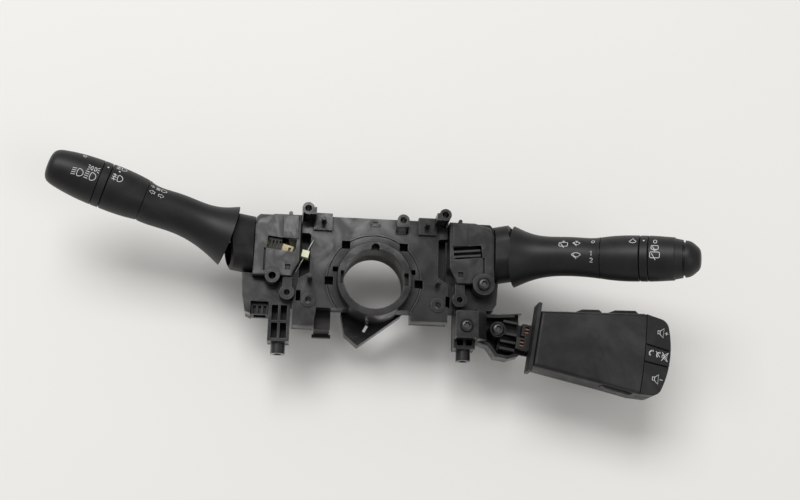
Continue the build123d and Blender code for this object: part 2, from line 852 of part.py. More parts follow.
def make_contacts(side):
    """Contact strips fixed under the cover, seen in the window."""
    with BuildPart() as contacts:
        with BuildSketch(flat_plane(side, neutral_angle, case_front - 1.0)):
            if side == left:
                with Locations((-7.8, 0)):
                    Rectangle(8.6, 9.4)
                with Locations((-7.8, 0)):
                    with GridLocations(2.2, 1, 4, 1):
                        Rectangle(1.0, 4.4, mode=Mode.SUBTRACT)
            else:
                with Locations((-12.4, 1.6), (-12.4, -1.8)):
                    Rectangle(18, 1.3)
        extrude(amount=1.0)
    return contacts


def make_lever(side):
    """Lever core: square tail, cross pin and the tube that carries every grip."""
    tube_end = knob_end[left] - 4 if side == left else band_end[right] + 13
    with BuildPart() as lever:
        with BuildSketch(stalk_section(side, -lever_tail)):
            Rectangle(lever_square, lever_square)
        extrude(amount=lever_tail + cradle_half_length + 2)
        with BuildSketch(stalk_section(side, cradle_half_length + 1.2)):
            Circle(core_radius)
        extrude(amount=tube_end - cradle_half_length - 1.2)
        with BuildSketch(pin_plane(side, rest_angle[side])):
            Circle(lever_pin_radius)
        extrude(amount=cradle_half_width - 0.4, both=True)
        with BuildSketch(stalk_section(side, cradle_half_length + 4)):
            Circle(core_bore_radius)
        extrude(amount=tube_end, mode=Mode.SUBTRACT)
        with BuildSketch(stalk_section(side, -lever_tail)):
            Circle(plunger_radius + running_gap)
        extrude(amount=8.5, mode=Mode.SUBTRACT)
    return lever


def make_detent_plunger(side):
    """Round-nosed plunger in the lever's tail."""
    nose = nose_reach - plunger_radius
    with BuildPart() as plunger:
        with BuildSketch(stalk_profile(side)):
            with BuildLine():
                tip = CenterArc((-nose, 0), plunger_radius, 90, 90)
                Polyline(tip @ 0, (-lever_tail + 2.6, plunger_radius), (-lever_tail + 2.6, 0), tip @ 1)
            make_face()
        revolve(axis=stalk_axis(side))
    return plunger


def make_detent_spring(side):
    """Coil spring behind the plunger."""
    with BuildPart() as spring:
        seat = stalk_section(side, -lever_tail + 2.9)
        with BuildLine():
            coil = Helix(pitch=1.3, height=5.1, radius=1.3, center=seat.origin, direction=seat.z_dir)
        with BuildSketch(Plane(origin=coil @ 0, z_dir=coil % 0)):
            Circle(0.2)
        sweep(path=coil)
    return spring


def sleeve_sections(side):
    """Distance from the pivot, radius and upward shift of the sleeve's sections."""
    start, length = sleeve_start[side], sleeve_length[side]
    low, high = flare_shift[side], waist_shift[side]
    return [
        (start, flare_radius, low),
        (start + 0.1 * length, 0.65 * flare_radius + 0.35 * waist_radius, low),
        (start + 0.28 * length, waist_radius + 1.5, 0.7 * low + 0.3 * high),
        (start + 0.48 * length, waist_radius + 0.2, high),
        (start + 0.7 * length, waist_radius, high),
        (sleeve_end[side], seam_radius, 0),
    ]


def make_sleeve(side):
    """Fixed grip sleeve with its flared skirt over the neck."""
    end = sleeve_end[side]
    with BuildPart() as sleeve:
        for along, radius, shift in sleeve_sections(side):
            with BuildSketch(stalk_section(side, along)):
                with Locations((shift, 0)):
                    Circle(radius)
        loft()
        for along, radius, shift in sleeve_sections(side):
            with BuildSketch(stalk_section(side, min(along, end - 4))):
                with Locations((shift, 0)):
                    Circle(radius - skin_wall)
        loft(mode=Mode.SUBTRACT)
        with BuildSketch(stalk_section(side, end - 6)):
            Circle(core_radius)
        extrude(amount=8, mode=Mode.SUBTRACT)
    return sleeve


def make_band(side):
    """Narrow fixed index band between the ring and the knob."""
    start, end = ring_end[side], band_end[side]
    with BuildPart() as band:
        with BuildSketch(stalk_profile(side)):
            Polygon((start, core_radius), (end, core_radius), (end, crest_radius),
                    (start, crest_radius), align=None)
        revolve(axis=stalk_axis(side))
        chamfer(band.edges().filter_by(GeomType.CIRCLE).group_by(SortBy.RADIUS)[-1], 0.4)
    return band


def make_ring(side):
    """Rotary ring that turns on the lever core, swelling towards the knob."""
    start = sleeve_end[side] + seam_gap
    end = ring_end[side] - seam_gap
    hub = core_radius + running_gap
    swell = [(start + 0.4, seam_radius), (start + 0.3 * ring_length, crest_radius - 0.45),
             (end - 0.4, crest_radius)]
    with BuildPart() as ring:
        with BuildSketch(stalk_profile(side)):
            with BuildLine():
                Spline(*swell)
                Polyline(swell[-1], (end, crest_radius - 0.5), (end, hub), (end - ring_land, hub),
                         (end - ring_land, crest_radius - skin_wall),
                         (start + ring_land, seam_radius - skin_wall + 0.2), (start + ring_land, hub),
                         (start, hub), (start, seam_radius - 0.5), swell[0])
            make_face()
        revolve(axis=stalk_axis(side))
    return ring


def make_light_knob():
    """Rotary end knob of the light stalk, closed at its tip."""
    base = band_end[left]
    start = base + seam_gap
    hub = core_radius + running_gap
    inside = crest_radius - skin_wall
    with BuildPart() as knob:
        with BuildSketch(stalk_profile(left)):
            with BuildLine():
                edge = Spline(
                    (start, crest_radius),
                    (base + 0.39 * knob_length, crest_radius - 0.8),
                    (base + 0.73 * knob_length, crest_radius - 2.5),
                    (base + 0.92 * knob_length, 0.68 * crest_radius),
                    (knob_end[left], 0),
                    tangents=[(1, -0.03), (0, -1)],
                )
                Polyline(edge @ 1, (start, 0), edge @ 0)
            make_face()
        revolve(axis=stalk_axis(left))
        with BuildSketch(stalk_profile(left)):
            Polygon((start, 0), (knob_end[left] - 3.6, 0), (knob_end[left] - 3.6, hub), (start, hub),
                    align=None)
        revolve(axis=stalk_axis(left), mode=Mode.SUBTRACT)
        with BuildSketch(stalk_profile(left)):
            Polygon((start + 5, hub + 2.2), (start + 5, inside - 0.4),
                    (start + 0.5 * knob_length, inside - 1.6), (start + 0.75 * knob_length, inside - 3.4),
                    (start + 0.75 * knob_length, hub + 2.2), align=None)
        revolve(axis=stalk_axis(left), mode=Mode.SUBTRACT)
    return knob


def make_wiper_knob():
    """Rotary end knob of the wiper stalk, open at its tip for the trip button."""
    base = band_end[right]
    start = base + seam_gap
    hub = core_radius + running_gap
    groove = base + 0.5 * knob_length
    end = base + button_start - button_travel - seam_gap
    guide = button_skirt_radius + sliding_gap
    with BuildPart() as knob:
        with BuildSketch(stalk_profile(right)):
            Polygon(
                (start, hub), (start, crest_radius - 0.3), (start + 0.4, crest_radius),
                (base + 0.2 * knob_length, crest_radius - 0.3), (groove, crest_radius - 1.0),
                (groove + 0.3, crest_radius - 1.6), (end, crest_radius - 2.6), (end, guide),
                (start + 8, guide), (start + 8, hub), align=None,
            )
        revolve(axis=stalk_axis(right))
    return knob


def make_trip_button():
    """Push button that forms the wiper knob's domed tip."""
    base = band_end[right] + button_start
    rim = crest_radius - 2.9
    stem = core_bore_radius - sliding_gap
    with BuildPart() as button:
        with BuildSketch(stalk_profile(right)):
            with BuildLine():
                edge = Spline(
                    (base, rim),
                    (band_end[right] + 0.8 * knob_length, rim - 0.7),
                    (band_end[right] + 0.92 * knob_length, 0.56 * crest_radius),
                    (knob_end[right], 0),
                    tangents=[(1, -0.1), (0, -1)],
                )
                Polyline(edge @ 1, (base - 18, 0), (base - 18, stem), (base - 1, stem),
                         (base - 1, stem + 5.2), (base - 9, stem + 5.2),
                         (base - 9, button_skirt_radius), (base, button_skirt_radius), edge @ 0)
            make_face()
        revolve(axis=stalk_axis(right))
    return button


# Cancelling gear
def make_cancel_pawl():
    """Nylon pawl beside the light module that returns the indicator."""
    with BuildPart() as pawl:
        with BuildSketch(Plane.XY.offset(pawl_back)):
            with Locations(Location((pawl_x, pawl_y), -12)):
                Rectangle(pawl_size, pawl_size)
        extrude(amount=5.6)
        with BuildSketch(Plane.XY.offset(pawl_back + 1.2)):
            with Locations(Location((pawl_x, pawl_y), wire_angle)):
                Rectangle(2 * pawl_size, 2.4)
        extrude(amount=2.0, mode=Mode.SUBTRACT)
        with BuildSketch(Plane.XY.offset(pawl_back)):
            with Locations((pawl_x, pawl_y)):
                Circle(pawl_pin_radius)
        extrude(amount=-3.8)
    return pawl


def make_cancel_wire():
    """Spring wire that runs through the pawl and holds it at rest."""
    c, s = cos(radians(wire_angle)), sin(radians(wire_angle))
    height = pawl_back + 2.2
    place = (pawl_x + 11.4 * c, pawl_y + 11.4 * s, height)
    with BuildPart() as wire:
        with BuildSketch(Plane(origin=place, z_dir=(-c, -s, 0))):
            Circle(pawl_wire_radius)
        extrude(amount=24.5)
    return wire


# Audio satellite
with BuildSketch() as satellite_shape:
    with BuildLine():
        Polyline((0, -19), (0, 17.3), (0.77 * satellite_length, 29.2), (satellite_length - 4.6, 27))
        ThreePointArc(
            (satellite_length - 4.6, 27), (satellite_length + 0.3, 3), (satellite_length - 4.6, -22.6)
        )
        Polyline((satellite_length - 4.6, -22.6), (0.78 * satellite_length, -23.6), (45, -21.8), (0, -19))
    make_face()
    fillet(satellite_shape.vertices().sort_by(Axis.Y)[-2], 7)
    fillet(satellite_shape.vertices().filter_by_position(Axis.Y, -22.7, -22.5), 7)

with BuildSketch() as body_side:
    with BuildLine():
        seam = ThreePointArc((key_seam - 3.2, 40), (key_seam + 0.4, 0), (key_seam - 0.6, -40))
        Polyline(seam @ 1, (-20, -40), (-20, 40), seam @ 0)
    make_face()

with BuildSketch() as key_side:
    with BuildLine():
        edge = ThreePointArc(
            (key_seam - 3.2 + seam_gap, 40),
            (key_seam + 0.4 + seam_gap, 0),
            (key_seam - 0.6 + seam_gap, -40),
        )
        Polyline(edge @ 1, (120, -40), (120, 40), edge @ 0)
    make_face()


button_spans = {"source_button": (23.0, 39.8), "list_button": (44.2, key_seam - 6.5)}
mode_span = (46.5, key_seam - 3.5)
button_low = 23.0
button_high = 30.6


def top_edge(along):
    """Height across of the satellite's top edge at a distance along it."""
    return 17.3 + (29.2 - 17.3) * along / (0.77 * satellite_length)


def bottom_edge(along):
    """Height across of the satellite's bottom edge near the mode button."""
    return -21.8 - (23.6 - 21.8) * (along - 45) / (0.78 * satellite_length - 45)


def top_button_outline(node, gap, reach):
    """Plan of a top button, grown by a gap, reaching out past the edge."""
    start, end = button_spans[node]
    inner = 5.0 + gap
    return [
        (start - gap, top_edge(start) - inner),
        (end + gap, top_edge(end) - inner),
        (end + gap, top_edge(end) + 0.3 * reach),
        (end - 2 + gap, top_edge(end - 2) + reach),
        (start + 4 - gap, top_edge(start + 4) + reach),
        (start - gap, top_edge(start) + 0.2 * reach),
    ]


def mode_button_outline(gap, reach):
    """Plan of the mode button on the lower edge."""
    start, end = mode_span
    inner = 5.0 + gap
    return [
        (start - gap, bottom_edge(start) + inner),
        (start - gap, bottom_edge(start) - 0.3 * reach),
        (start + 3 - gap, bottom_edge(start + 3) - reach),
        (end - 2 + gap, bottom_edge(end - 2) - reach),
        (end + gap, bottom_edge(end) - 0.3 * reach),
        (end + gap, bottom_edge(end) + inner),
    ]


def make_satellite_front():
    """Front shell of the satellite, with windows for the edge buttons."""
    with BuildPart() as front:
        with BuildSketch(satellite_plane(satellite_seam)):
            add(satellite_shape.sketch)
            add(body_side.sketch, mode=Mode.INTERSECT)
        extrude(amount=satellite_front - satellite_seam)
        local = satellite_plane(0)
        rim = front.faces().sort_by(Axis.Z)[-1].edges()
        fillet(rim.filter_by(lambda e: local.to_local_coords(e.center()).X < key_seam - 2), satellite_edge)
        with BuildSketch(satellite_plane(satellite_seam)):
            add(satellite_shape.sketch)
            add(body_side.sketch, mode=Mode.INTERSECT)
            offset(amount=-satellite_wall, kind=Kind.INTERSECTION)
        extrude(amount=satellite_front - satellite_seam - satellite_wall, mode=Mode.SUBTRACT)
        with BuildSketch(satellite_plane(button_low - seam_gap)):
            for node in button_spans:
                Polygon(*top_button_outline(node, seam_gap, 6), align=None)
            Polygon(*mode_button_outline(seam_gap, 6), align=None)
        extrude(amount=button_high - button_low + 2 * seam_gap, mode=Mode.SUBTRACT)
    return front


def make_satellite_rear():
    """Rear shell with the flange, the mounting tongue and the wheel's slot."""
    rear_back = satellite_front - satellite_depth
    with BuildPart() as rear:
        with BuildSketch(satellite_plane(rear_back)):
            add(satellite_shape.sketch)
        extrude(amount=satellite_seam - rear_back)
        chamfer(rear.faces().sort_by(Axis.Z)[0].edges(), 1.6)
        with BuildSketch(satellite_plane(rear_back + satellite_wall)):
            add(satellite_shape.sketch)
            offset(amount=-satellite_wall, kind=Kind.INTERSECTION)
        extrude(amount=satellite_seam - rear_back, mode=Mode.SUBTRACT)

        # Lugs for the wheel's axle
        base = satellite_plane(rear_back + satellite_wall)
        with BuildSketch(base):
            with Locations((wheel_u, wheel_width / 2 + 2.2), (wheel_u, -wheel_width / 2 - 2.2)):
                Rectangle(7, 2.4)
        extrude(amount=wheel_z + axle_radius + 1.8 - rear_back - satellite_wall)
        across = satellite_plane(wheel_z)
        axle_line = Plane(across.from_local_coords((wheel_u, -20, 0)), x_dir=across.x_dir,
                          z_dir=across.y_dir)
        with BuildSketch(axle_line.offset(8)):
            Circle(axle_radius)
        extrude(amount=24, mode=Mode.SUBTRACT)
        with BuildSketch(satellite_plane(rear_back)):
            with Locations((wheel_u, 0)):
                Rectangle(2 * sqrt(wheel_radius**2 - (wheel_z - rear_back - 2) ** 2) + 3, wheel_width + 1.4)
        extrude(amount=satellite_wall, mode=Mode.SUBTRACT)

        # Flange plate and mounting tongue
        with BuildSketch(satellite_plane(satellite_seam - 3)):
            Rectangle(flange_wall, 2 * flange_half, align=(Align.MAX, Align.CENTER))
        extrude(amount=satellite_front - satellite_seam + 3)
        with BuildSketch(satellite_plane(tongue_back)):
            with Locations((0, -0.8)):
                Rectangle(22, 19.4, align=(Align.MAX, Align.CENTER))
            with Locations((arm_screw_u, arm_screw_v)):
                Circle(5.0)
        extrude(amount=2)
        with BuildSketch(satellite_plane(tongue_back)):
            with Locations((arm_screw_u, arm_screw_v)):
                Circle(5.0)
            with Locations((-plug_root, 8.0), (-plug_root, 0.2), (-plug_root, -5.0), (-plug_root, -9.7)):
                Rectangle(10, 1.5, align=(Align.MAX, Align.CENTER))
        extrude(amount=tongue_front - tongue_back - 1.5)
        with BuildSketch(satellite_plane(tongue_back)):
            with Locations((arm_screw_u, arm_screw_v)):
                Circle(5.0)
        extrude(amount=tongue_front - tongue_back)
        with BuildSketch(satellite_plane(tongue_back)):
            with Locations((arm_screw_u, arm_screw_v)):
                Circle(screw_radius + 0.3)
        extrude(amount=tongue_front - tongue_back, mode=Mode.SUBTRACT)
    return rear


def make_satellite_board():
    """Circuit board inside the satellite, on the rear shell's floor."""
    with BuildPart() as board:
        with BuildSketch(satellite_plane(satellite_front - satellite_depth + satellite_wall)):
            with Locations((17, -1)):
                Rectangle(26, 28)
        extrude(amount=board_wall)
    return board


def make_satellite_plug():
    """Two-bay plug between the tongue's ribs, windowed over its contacts."""
    with BuildPart() as plug:
        with BuildSketch(satellite_plane(tongue_back + 2)):
            with Locations((-flange_wall, 4.6)):
                Rectangle(6.4, 8.0, align=(Align.MAX, Align.CENTER))
            with Locations((-flange_wall, -4.4)):
                Rectangle(9.0, 7.6, align=(Align.MAX, Align.CENTER))
            with Locations((-flange_wall, 0.0)):
                Rectangle(4, 12, align=(Align.MAX, Align.CENTER))
        extrude(amount=7.5)
        with BuildSketch(satellite_plane(tongue_back + 9.5)):
            with Locations(*plug_windows):
                Rectangle(2.6, 4.6)
        extrude(amount=-3, mode=Mode.SUBTRACT)
    return plug


def make_satellite_terminals():
    """Copper contacts in the plug's two windows."""
    with BuildPart() as terminals:
        with BuildSketch(satellite_plane(tongue_back + 6.5)):
            with Locations(*plug_windows):
                with GridLocations(1, 2.2, 1, 2):
                    Rectangle(2.6, 1.0)
        extrude(amount=1.6)
    return terminals


def make_end_key(low, high):
    """One end key, between two seams across the satellite."""
    with BuildPart() as key:
        with BuildSketch(satellite_plane(satellite_seam + key_travel + seam_gap)):
            add(satellite_shape.sketch)
            add(key_side.sketch, mode=Mode.INTERSECT)
            Polygon(*key_band(low, high), align=None, mode=Mode.INTERSECT)
        extrude(amount=satellite_front - satellite_seam - key_travel - seam_gap)
        top = key.faces().sort_by(Axis.Z)[-1]
        chamfer(top.edges(), 0.5)
        with BuildSketch(satellite_plane(satellite_seam)):
            add(satellite_shape.sketch)
            add(key_side.sketch, mode=Mode.INTERSECT)
            Polygon(*key_band(low, high), align=None, mode=Mode.INTERSECT)
            offset(amount=-satellite_wall + 0.2, kind=Kind.INTERSECTION)
        extrude(amount=satellite_front - satellite_seam - satellite_wall, mode=Mode.SUBTRACT)
    return key


def key_band(low, high):
    """Band across the satellite's end between two slightly fanned seams."""
    near, far = key_seam - 8, satellite_length + 8
    gap = seam_gap / 2
    return [(near, low[0] + gap), (far, low[1] + gap), (far, high[1] - gap), (near, high[0] - gap)]


def make_edge_button(outline):
    """Slim button in the satellite's edge."""
    with BuildPart() as button:
        with BuildSketch(satellite_plane(button_low)):
            Polygon(*outline, align=None)
        extrude(amount=button_high - button_low)
        chamfer(button.faces().sort_by(Axis.Z)[-1].edges(), 0.4)
    return button


def make_scroll_wheel():
    """Thumb wheel behind the satellite, with finger flutes."""
    across = satellite_plane(wheel_z)
    line = Plane(across.from_local_coords((wheel_u, -wheel_width / 2, 0)), x_dir=across.x_dir,
                 z_dir=across.y_dir)
    with BuildPart() as wheel:
        with BuildSketch(line):
            Circle(wheel_radius)
            with PolarLocations(wheel_radius + 0.7, 18):
                Circle(1.2, mode=Mode.SUBTRACT)
            Circle(axle_radius + running_gap, mode=Mode.SUBTRACT)
        extrude(amount=wheel_width)
    return wheel


def make_wheel_axle():
    """Steel pin that the thumb wheel turns on."""
    across = satellite_plane(wheel_z)
    half = wheel_width / 2 + 3.4
    line = Plane(across.from_local_coords((wheel_u, -half, 0)), x_dir=across.x_dir, z_dir=across.y_dir)
    with BuildPart() as axle:
        with BuildSketch(line):
            Circle(axle_radius)
        extrude(amount=2 * half)
    return axle


def make_bracket():
    """Bracket on the right tower, with the curved tray that the satellite's tongue lies in."""
    x0, x1 = tower_x - tower_width / 2, tower_x + tower_width / 2 + 0.6
    y0, y1 = bracket_bottom, bracket_top
    screw = satellite_plane(0).from_local_coords((arm_screw_u, arm_screw_v, 0))
    tray = [(x1, -17.4), (82, -17.4), (97.6, -16.2), (97, -41.6), (95.4, -44.4), (88.6, -46.6),
            (80.4, -45.4), (75.4, -38.6), (x1, -35.6)]
    with BuildPart() as bracket:
        with BuildSketch(Plane.XY.offset(wing_front)) as seat:
            with Locations(((x0 + x1) / 2, (y0 + y1) / 2)):
                Rectangle(x1 - x0, y1 - y0)
            fillet(seat.vertices(), 1.2)
        extrude(amount=bracket_front - wing_front)
        with BuildSketch(Plane.XY.offset(wing_front)):
            with Locations(((x0 + x1) / 2, (y0 + y1) / 2)):
                Rectangle(x1 - x0 - 2 * bracket_wall, y1 - y0 - 2 * bracket_wall)
            with Locations((tower_x, bracket_screw_y)):
                Circle(pillar_radius, mode=Mode.SUBTRACT)
        extrude(amount=bracket_front - wing_front - bracket_wall, mode=Mode.SUBTRACT)
        with BuildSketch(Plane.XY.offset(wing_front)):
            with Locations((tower_x, bracket_screw_y)):
                Circle(screw_radius + 0.3)
        extrude(amount=bracket_front - wing_front, mode=Mode.SUBTRACT)

        # Sloping cheek from the seat down to the tray
        cheek_wall = Plane(origin=(x1, y1 + 1.0, 0), x_dir=(1, 0, 0), z_dir=(0, -1, 0))
        with BuildSketch(cheek_wall):
            Polygon((0, bracket_front - 1), (0, tray_back), (6, tray_back), (6, bracket_front - 6),
                    align=None)
        extrude(amount=y1 + 1.0 - y0)

        # Tray with its rolled lower wall and the post for the arm screw
        with BuildSketch(Plane.XY.offset(tray_back)):
            Polygon(*tray, align=None)
        extrude(amount=tray_wall_height)
        with BuildSketch(Plane.XY.offset(tray_back + bracket_wall)):
            Polygon(*tray, align=None)
            offset(amount=-bracket_wall, kind=Kind.INTERSECTION)
            with Locations((x1 + 3, -27)):
                Rectangle(6.1, 30, mode=Mode.SUBTRACT)
            with Locations((97, -30)):
                Rectangle(8, 26)
        extrude(amount=tray_wall_height, mode=Mode.SUBTRACT)
        with BuildSketch(Plane.XY.offset(tray_back)):
            with Locations((screw.X, screw.Y)):
                Circle(5.0)
        extrude(amount=tongue_back - tray_back)
        with BuildSketch(Plane.XY.offset(tray_back)):
            with Locations((screw.X, screw.Y)):
                Circle(screw_radius)
        extrude(amount=tongue_back - tray_back, mode=Mode.SUBTRACT)
    return bracket


def make_screws():
    """The three pan-head screws of the right side, as one group."""
    arm = satellite_plane(0).from_local_coords((arm_screw_u, arm_screw_v, 0))
    ear_front = module_boss_front[right]
    places = [
        (module_boss_x[right], module_boss_y, ear_front, ear_front - wing_front),
        (tower_x, bracket_screw_y, bracket_front, bracket_front - wing_front),
        (arm.X, arm.Y, tongue_front, tongue_front - tongue_back - 2),
    ]
    with BuildPart() as screws:
        for x, y, seat, clamped in places:
            with BuildSketch(Plane.XY.offset(seat)):
                with Locations((x, y)):
                    Circle(screw_head_radius)
            extrude(amount=screw_head_height)
            with BuildSketch(Plane.XY.offset(seat)):
                with Locations((x, y)):
                    Circle(screw_radius)
            extrude(amount=-clamped - screw_bite)
        fillet(screws.edges().filter_by(GeomType.CIRCLE).filter_by(
            lambda rim: rim.radius > screw_radius + 1).group_by(Axis.Z)[-1], 1.2)
    return screws


carrier = make_carrier()
save(carrier, "carrier_frame")
guide = make_column_guide()
save(guide, "column_guide")
socket = make_harness_socket()
save(socket, "harness_socket")
for side in (left, right):
    save(make_case(side), f"{prefix[side]}_case")
    save(make_cover(side), f"{prefix[side]}_cover")
    save(make_neck(side), f"{prefix[side]}_neck")
    save(make_board(side), f"{prefix[side]}_board")
    save(make_plug_socket(side), f"{prefix[side]}_plug_socket")
    save(make_terminals(side), f"{prefix[side]}_terminals")
    save(make_detent_cam(side), f"{prefix[side]}_detent_cam")
    save(make_contacts(side), f"{prefix[side]}_contacts")
    save(make_cradle(side), f"{prefix[side]}_cradle")
    save(make_lever(side), f"{prefix[side]}_lever")
    save(make_detent_plunger(side), f"{prefix[side]}_detent_plunger")
    save(make_detent_spring(side), f"{prefix[side]}_detent_spring")
    save(make_sleeve(side), f"{prefix[side]}_sleeve")
    save(make_band(side), f"{prefix[side]}_band")
save(make_ring(left), "fog_ring")
save(make_ring(right), "sensor_ring")
save(make_light_knob(), "light_knob")
save(make_wiper_knob(), "rear_wiper_knob")
save(make_trip_button(), "trip_button")
save(make_cancel_pawl(), "cancel_pawl")
save(make_cancel_wire(), "cancel_wire")
save(make_satellite_front(), "satellite_front")
save(make_satellite_rear(), "satellite_rear")
save(make_satellite_board(), "satellite_board")
save(make_satellite_plug(), "satellite_plug")
save(make_satellite_terminals(), "satellite_terminals")
upper_seam, lower_seam = (10.4, 6.6), (-1.4, -3.4)
past_edge = satellite_length
save(make_end_key(upper_seam, (past_edge, past_edge)), "volume_up_key")
save(make_end_key(lower_seam, upper_seam), "call_key")
save(make_end_key((-past_edge, -past_edge), lower_seam), "volume_down_key")
for node in button_spans:
    save(make_edge_button(top_button_outline(node, 0, 2.2)), node)
save(make_edge_button(mode_button_outline(0, 1.6)), "mode_button")
save(make_scroll_wheel(), "scroll_wheel")
save(make_wheel_axle(), "wheel_axle")
save(make_bracket(), "satellite_bracket")
save(make_screws(), "screws")
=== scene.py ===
import json
from math import atan2, cos, pi, radians, sin

import bmesh
import bpy
from mathutils import Euler, Matrix, Vector
from mathutils.bvhtree import BVHTree

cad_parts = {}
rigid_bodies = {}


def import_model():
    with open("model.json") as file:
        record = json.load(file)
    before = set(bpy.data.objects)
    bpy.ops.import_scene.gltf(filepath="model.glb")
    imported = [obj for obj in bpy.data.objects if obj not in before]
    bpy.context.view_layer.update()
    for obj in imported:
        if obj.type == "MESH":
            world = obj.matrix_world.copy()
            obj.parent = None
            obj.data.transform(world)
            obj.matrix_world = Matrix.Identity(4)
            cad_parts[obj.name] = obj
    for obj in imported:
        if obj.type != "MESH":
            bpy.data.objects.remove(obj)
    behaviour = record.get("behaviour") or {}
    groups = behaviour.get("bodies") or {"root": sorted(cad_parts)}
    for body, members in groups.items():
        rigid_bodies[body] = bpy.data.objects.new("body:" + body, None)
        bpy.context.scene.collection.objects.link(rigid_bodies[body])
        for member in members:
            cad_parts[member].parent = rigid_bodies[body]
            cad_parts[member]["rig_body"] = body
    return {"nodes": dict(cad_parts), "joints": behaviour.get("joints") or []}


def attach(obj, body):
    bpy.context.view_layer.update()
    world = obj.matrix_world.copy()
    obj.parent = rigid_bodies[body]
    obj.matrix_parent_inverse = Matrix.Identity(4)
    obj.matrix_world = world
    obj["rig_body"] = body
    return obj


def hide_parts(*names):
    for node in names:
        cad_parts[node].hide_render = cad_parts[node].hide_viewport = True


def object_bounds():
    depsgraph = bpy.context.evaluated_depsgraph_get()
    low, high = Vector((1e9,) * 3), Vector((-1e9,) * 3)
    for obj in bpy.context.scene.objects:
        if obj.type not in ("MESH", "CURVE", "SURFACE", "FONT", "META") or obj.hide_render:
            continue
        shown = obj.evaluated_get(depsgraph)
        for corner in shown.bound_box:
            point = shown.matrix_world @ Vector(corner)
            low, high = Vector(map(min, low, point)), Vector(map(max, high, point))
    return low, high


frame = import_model()
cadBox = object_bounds()
cad = frame["nodes"]
joints = {joint["name"]: joint for joint in frame["joints"]}
scene = bpy.context.scene
mm = 0.001  # Blender works in metres


def feed(tree, node, values):
    # fills a node's inputs: a socket is linked in, a plain value is typed in
    for name, value in values.items():
        if isinstance(value, bpy.types.NodeSocket):
            tree.links.new(value, node.inputs[name])
        else:
            node.inputs[name].default_value = value


def addNode(tree, kind, values=None, **settings):
    node = tree.nodes.new(kind)
    for name, value in settings.items():
        setattr(node, name, value)
    feed(tree, node, values or {})
    return node


def addNoise(tree, vector, **values):
    sockets = {name.capitalize(): value for name, value in values.items()}
    return addNode(tree, "ShaderNodeTexNoise", {"Vector": vector, **sockets}).outputs["Fac"]


def calculate(tree, operation, *values, clamp=False):
    sockets = dict(enumerate(values))
    return addNode(tree, "ShaderNodeMath", sockets, operation=operation, use_clamp=clamp).outputs[0]


def remap(tree, value, source=(0.0, 1.0), target=(0.0, 1.0)):
    # stretches the source span over the target span, and holds it at both ends
    spans = {"From Min": source[0], "From Max": source[1], "To Min": target[0], "To Max": target[1]}
    return addNode(tree, "ShaderNodeMapRange", {"Value": value, **spans}).outputs["Result"]


mixSockets = {"first": 6, "second": 7, "result": 2}  # colour sockets of the Mix node, whose labels repeat


def mixColor(tree, factor, first, second):
    values = {"Factor": factor}
    for place, color in (("first", first), ("second", second)):
        values[mixSockets[place]] = (*color, 1) if isinstance(color, tuple) else color
    return addNode(tree, "ShaderNodeMix", values, data_type="RGBA").outputs[mixSockets["result"]]


socketKinds = {tuple: "NodeSocketVector", float: "NodeSocketFloat"}


def newGroup(name, inputs, outputs):
    # each socket is given by its label and the value that it starts from
    group = bpy.data.node_groups.new(name, "ShaderNodeTree")
    for way, sockets in (("INPUT", inputs), ("OUTPUT", outputs)):
        for label, value in sockets.items():
            socket = group.interface.new_socket(label, in_out=way, socket_type=socketKinds[type(value)])
            socket.default_value = value
    return group, group.nodes.new("NodeGroupInput").outputs, group.nodes.new("NodeGroupOutput")


def placeGroup(tree, group, **values):
    sockets = {name.capitalize(): value for name, value in values.items()}
    return addNode(tree, "ShaderNodeGroup", sockets, node_tree=group).outputs


grainLook = {"wave": {"scale": 160.0, "detail": 3.0}, "waveShare": 0.35}


def makeGrainGroup():
    # moulded grain: a fine pebble with a softer, wider waviness below it
    group, into, out = newGroup("mouldGrain", {"Vector": (0, 0, 0), "Pebble": 2600.0}, {"Height": 0.0})
    sockets = {"Vector": into["Vector"], "Scale": into["Pebble"]}
    pebble = addNode(group, "ShaderNodeTexVoronoi", sockets, feature="SMOOTH_F1").outputs["Distance"]
    wave = addNoise(group, into["Vector"], **grainLook["wave"])
    feed(group, out, {"Height": calculate(group, "MULTIPLY_ADD", wave, grainLook["waveShare"], pebble)})
    return group


edgeLook = {"samples": 6}


def makeEdgeGroup():
    # worn edges with a painted edge highlight: where a rounded normal leaves the flat one
    group, into, out = newGroup(
        "edgeWearAndHighlight",
        {"Radius": 0.4 * mm, "Gain": 6.0},
        {"Normal": (0, 0, 0), "Mask": 0.0},
    )
    sockets = {"Radius": into["Radius"]}
    rounded = addNode(group, "ShaderNodeBevel", sockets, samples=edgeLook["samples"]).outputs["Normal"]
    flat = addNode(group, "ShaderNodeNewGeometry").outputs["Normal"]
    match = addNode(group, "ShaderNodeVectorMath", {0: rounded, 1: flat}, operation="DOT_PRODUCT")
    away = calculate(group, "SUBTRACT", 1.0, match.outputs["Value"])
    wornAndLit = calculate(group, "MULTIPLY", away, into["Gain"], clamp=True)
    feed(group, out, {"Normal": rounded, "Mask": wornAndLit})
    return group


flowLook = {"swirl": {"detail": 4.0, "roughness": 0.55, "distortion": 2.2}, "band": (0.42, 0.64)}


def makeFlowGroup():
    # flow marks of a glass-filled moulding: swirled bands
    group, into, out = newGroup("flowMarks", {"Vector": (0, 0, 0), "Scale": 22.0}, {"Mask": 0.0})
    swirl = addNoise(group, into["Vector"], scale=into["Scale"], **flowLook["swirl"])
    feed(group, out, {"Mask": remap(group, swirl, flowLook["band"])})
    return group


dustLook = {
    "patch": {"scale": 70.0, "detail": 5.0, "roughness": 0.6},
    "patchBand": (0.45, 0.8),
    "speck": {"scale": 1500.0, "detail": 2.0},
    "speckBand": (0.62, 0.74),
    "speckShare": 0.5,
    "onWalls": 0.15,  # share of the dust that an upright wall still holds
}


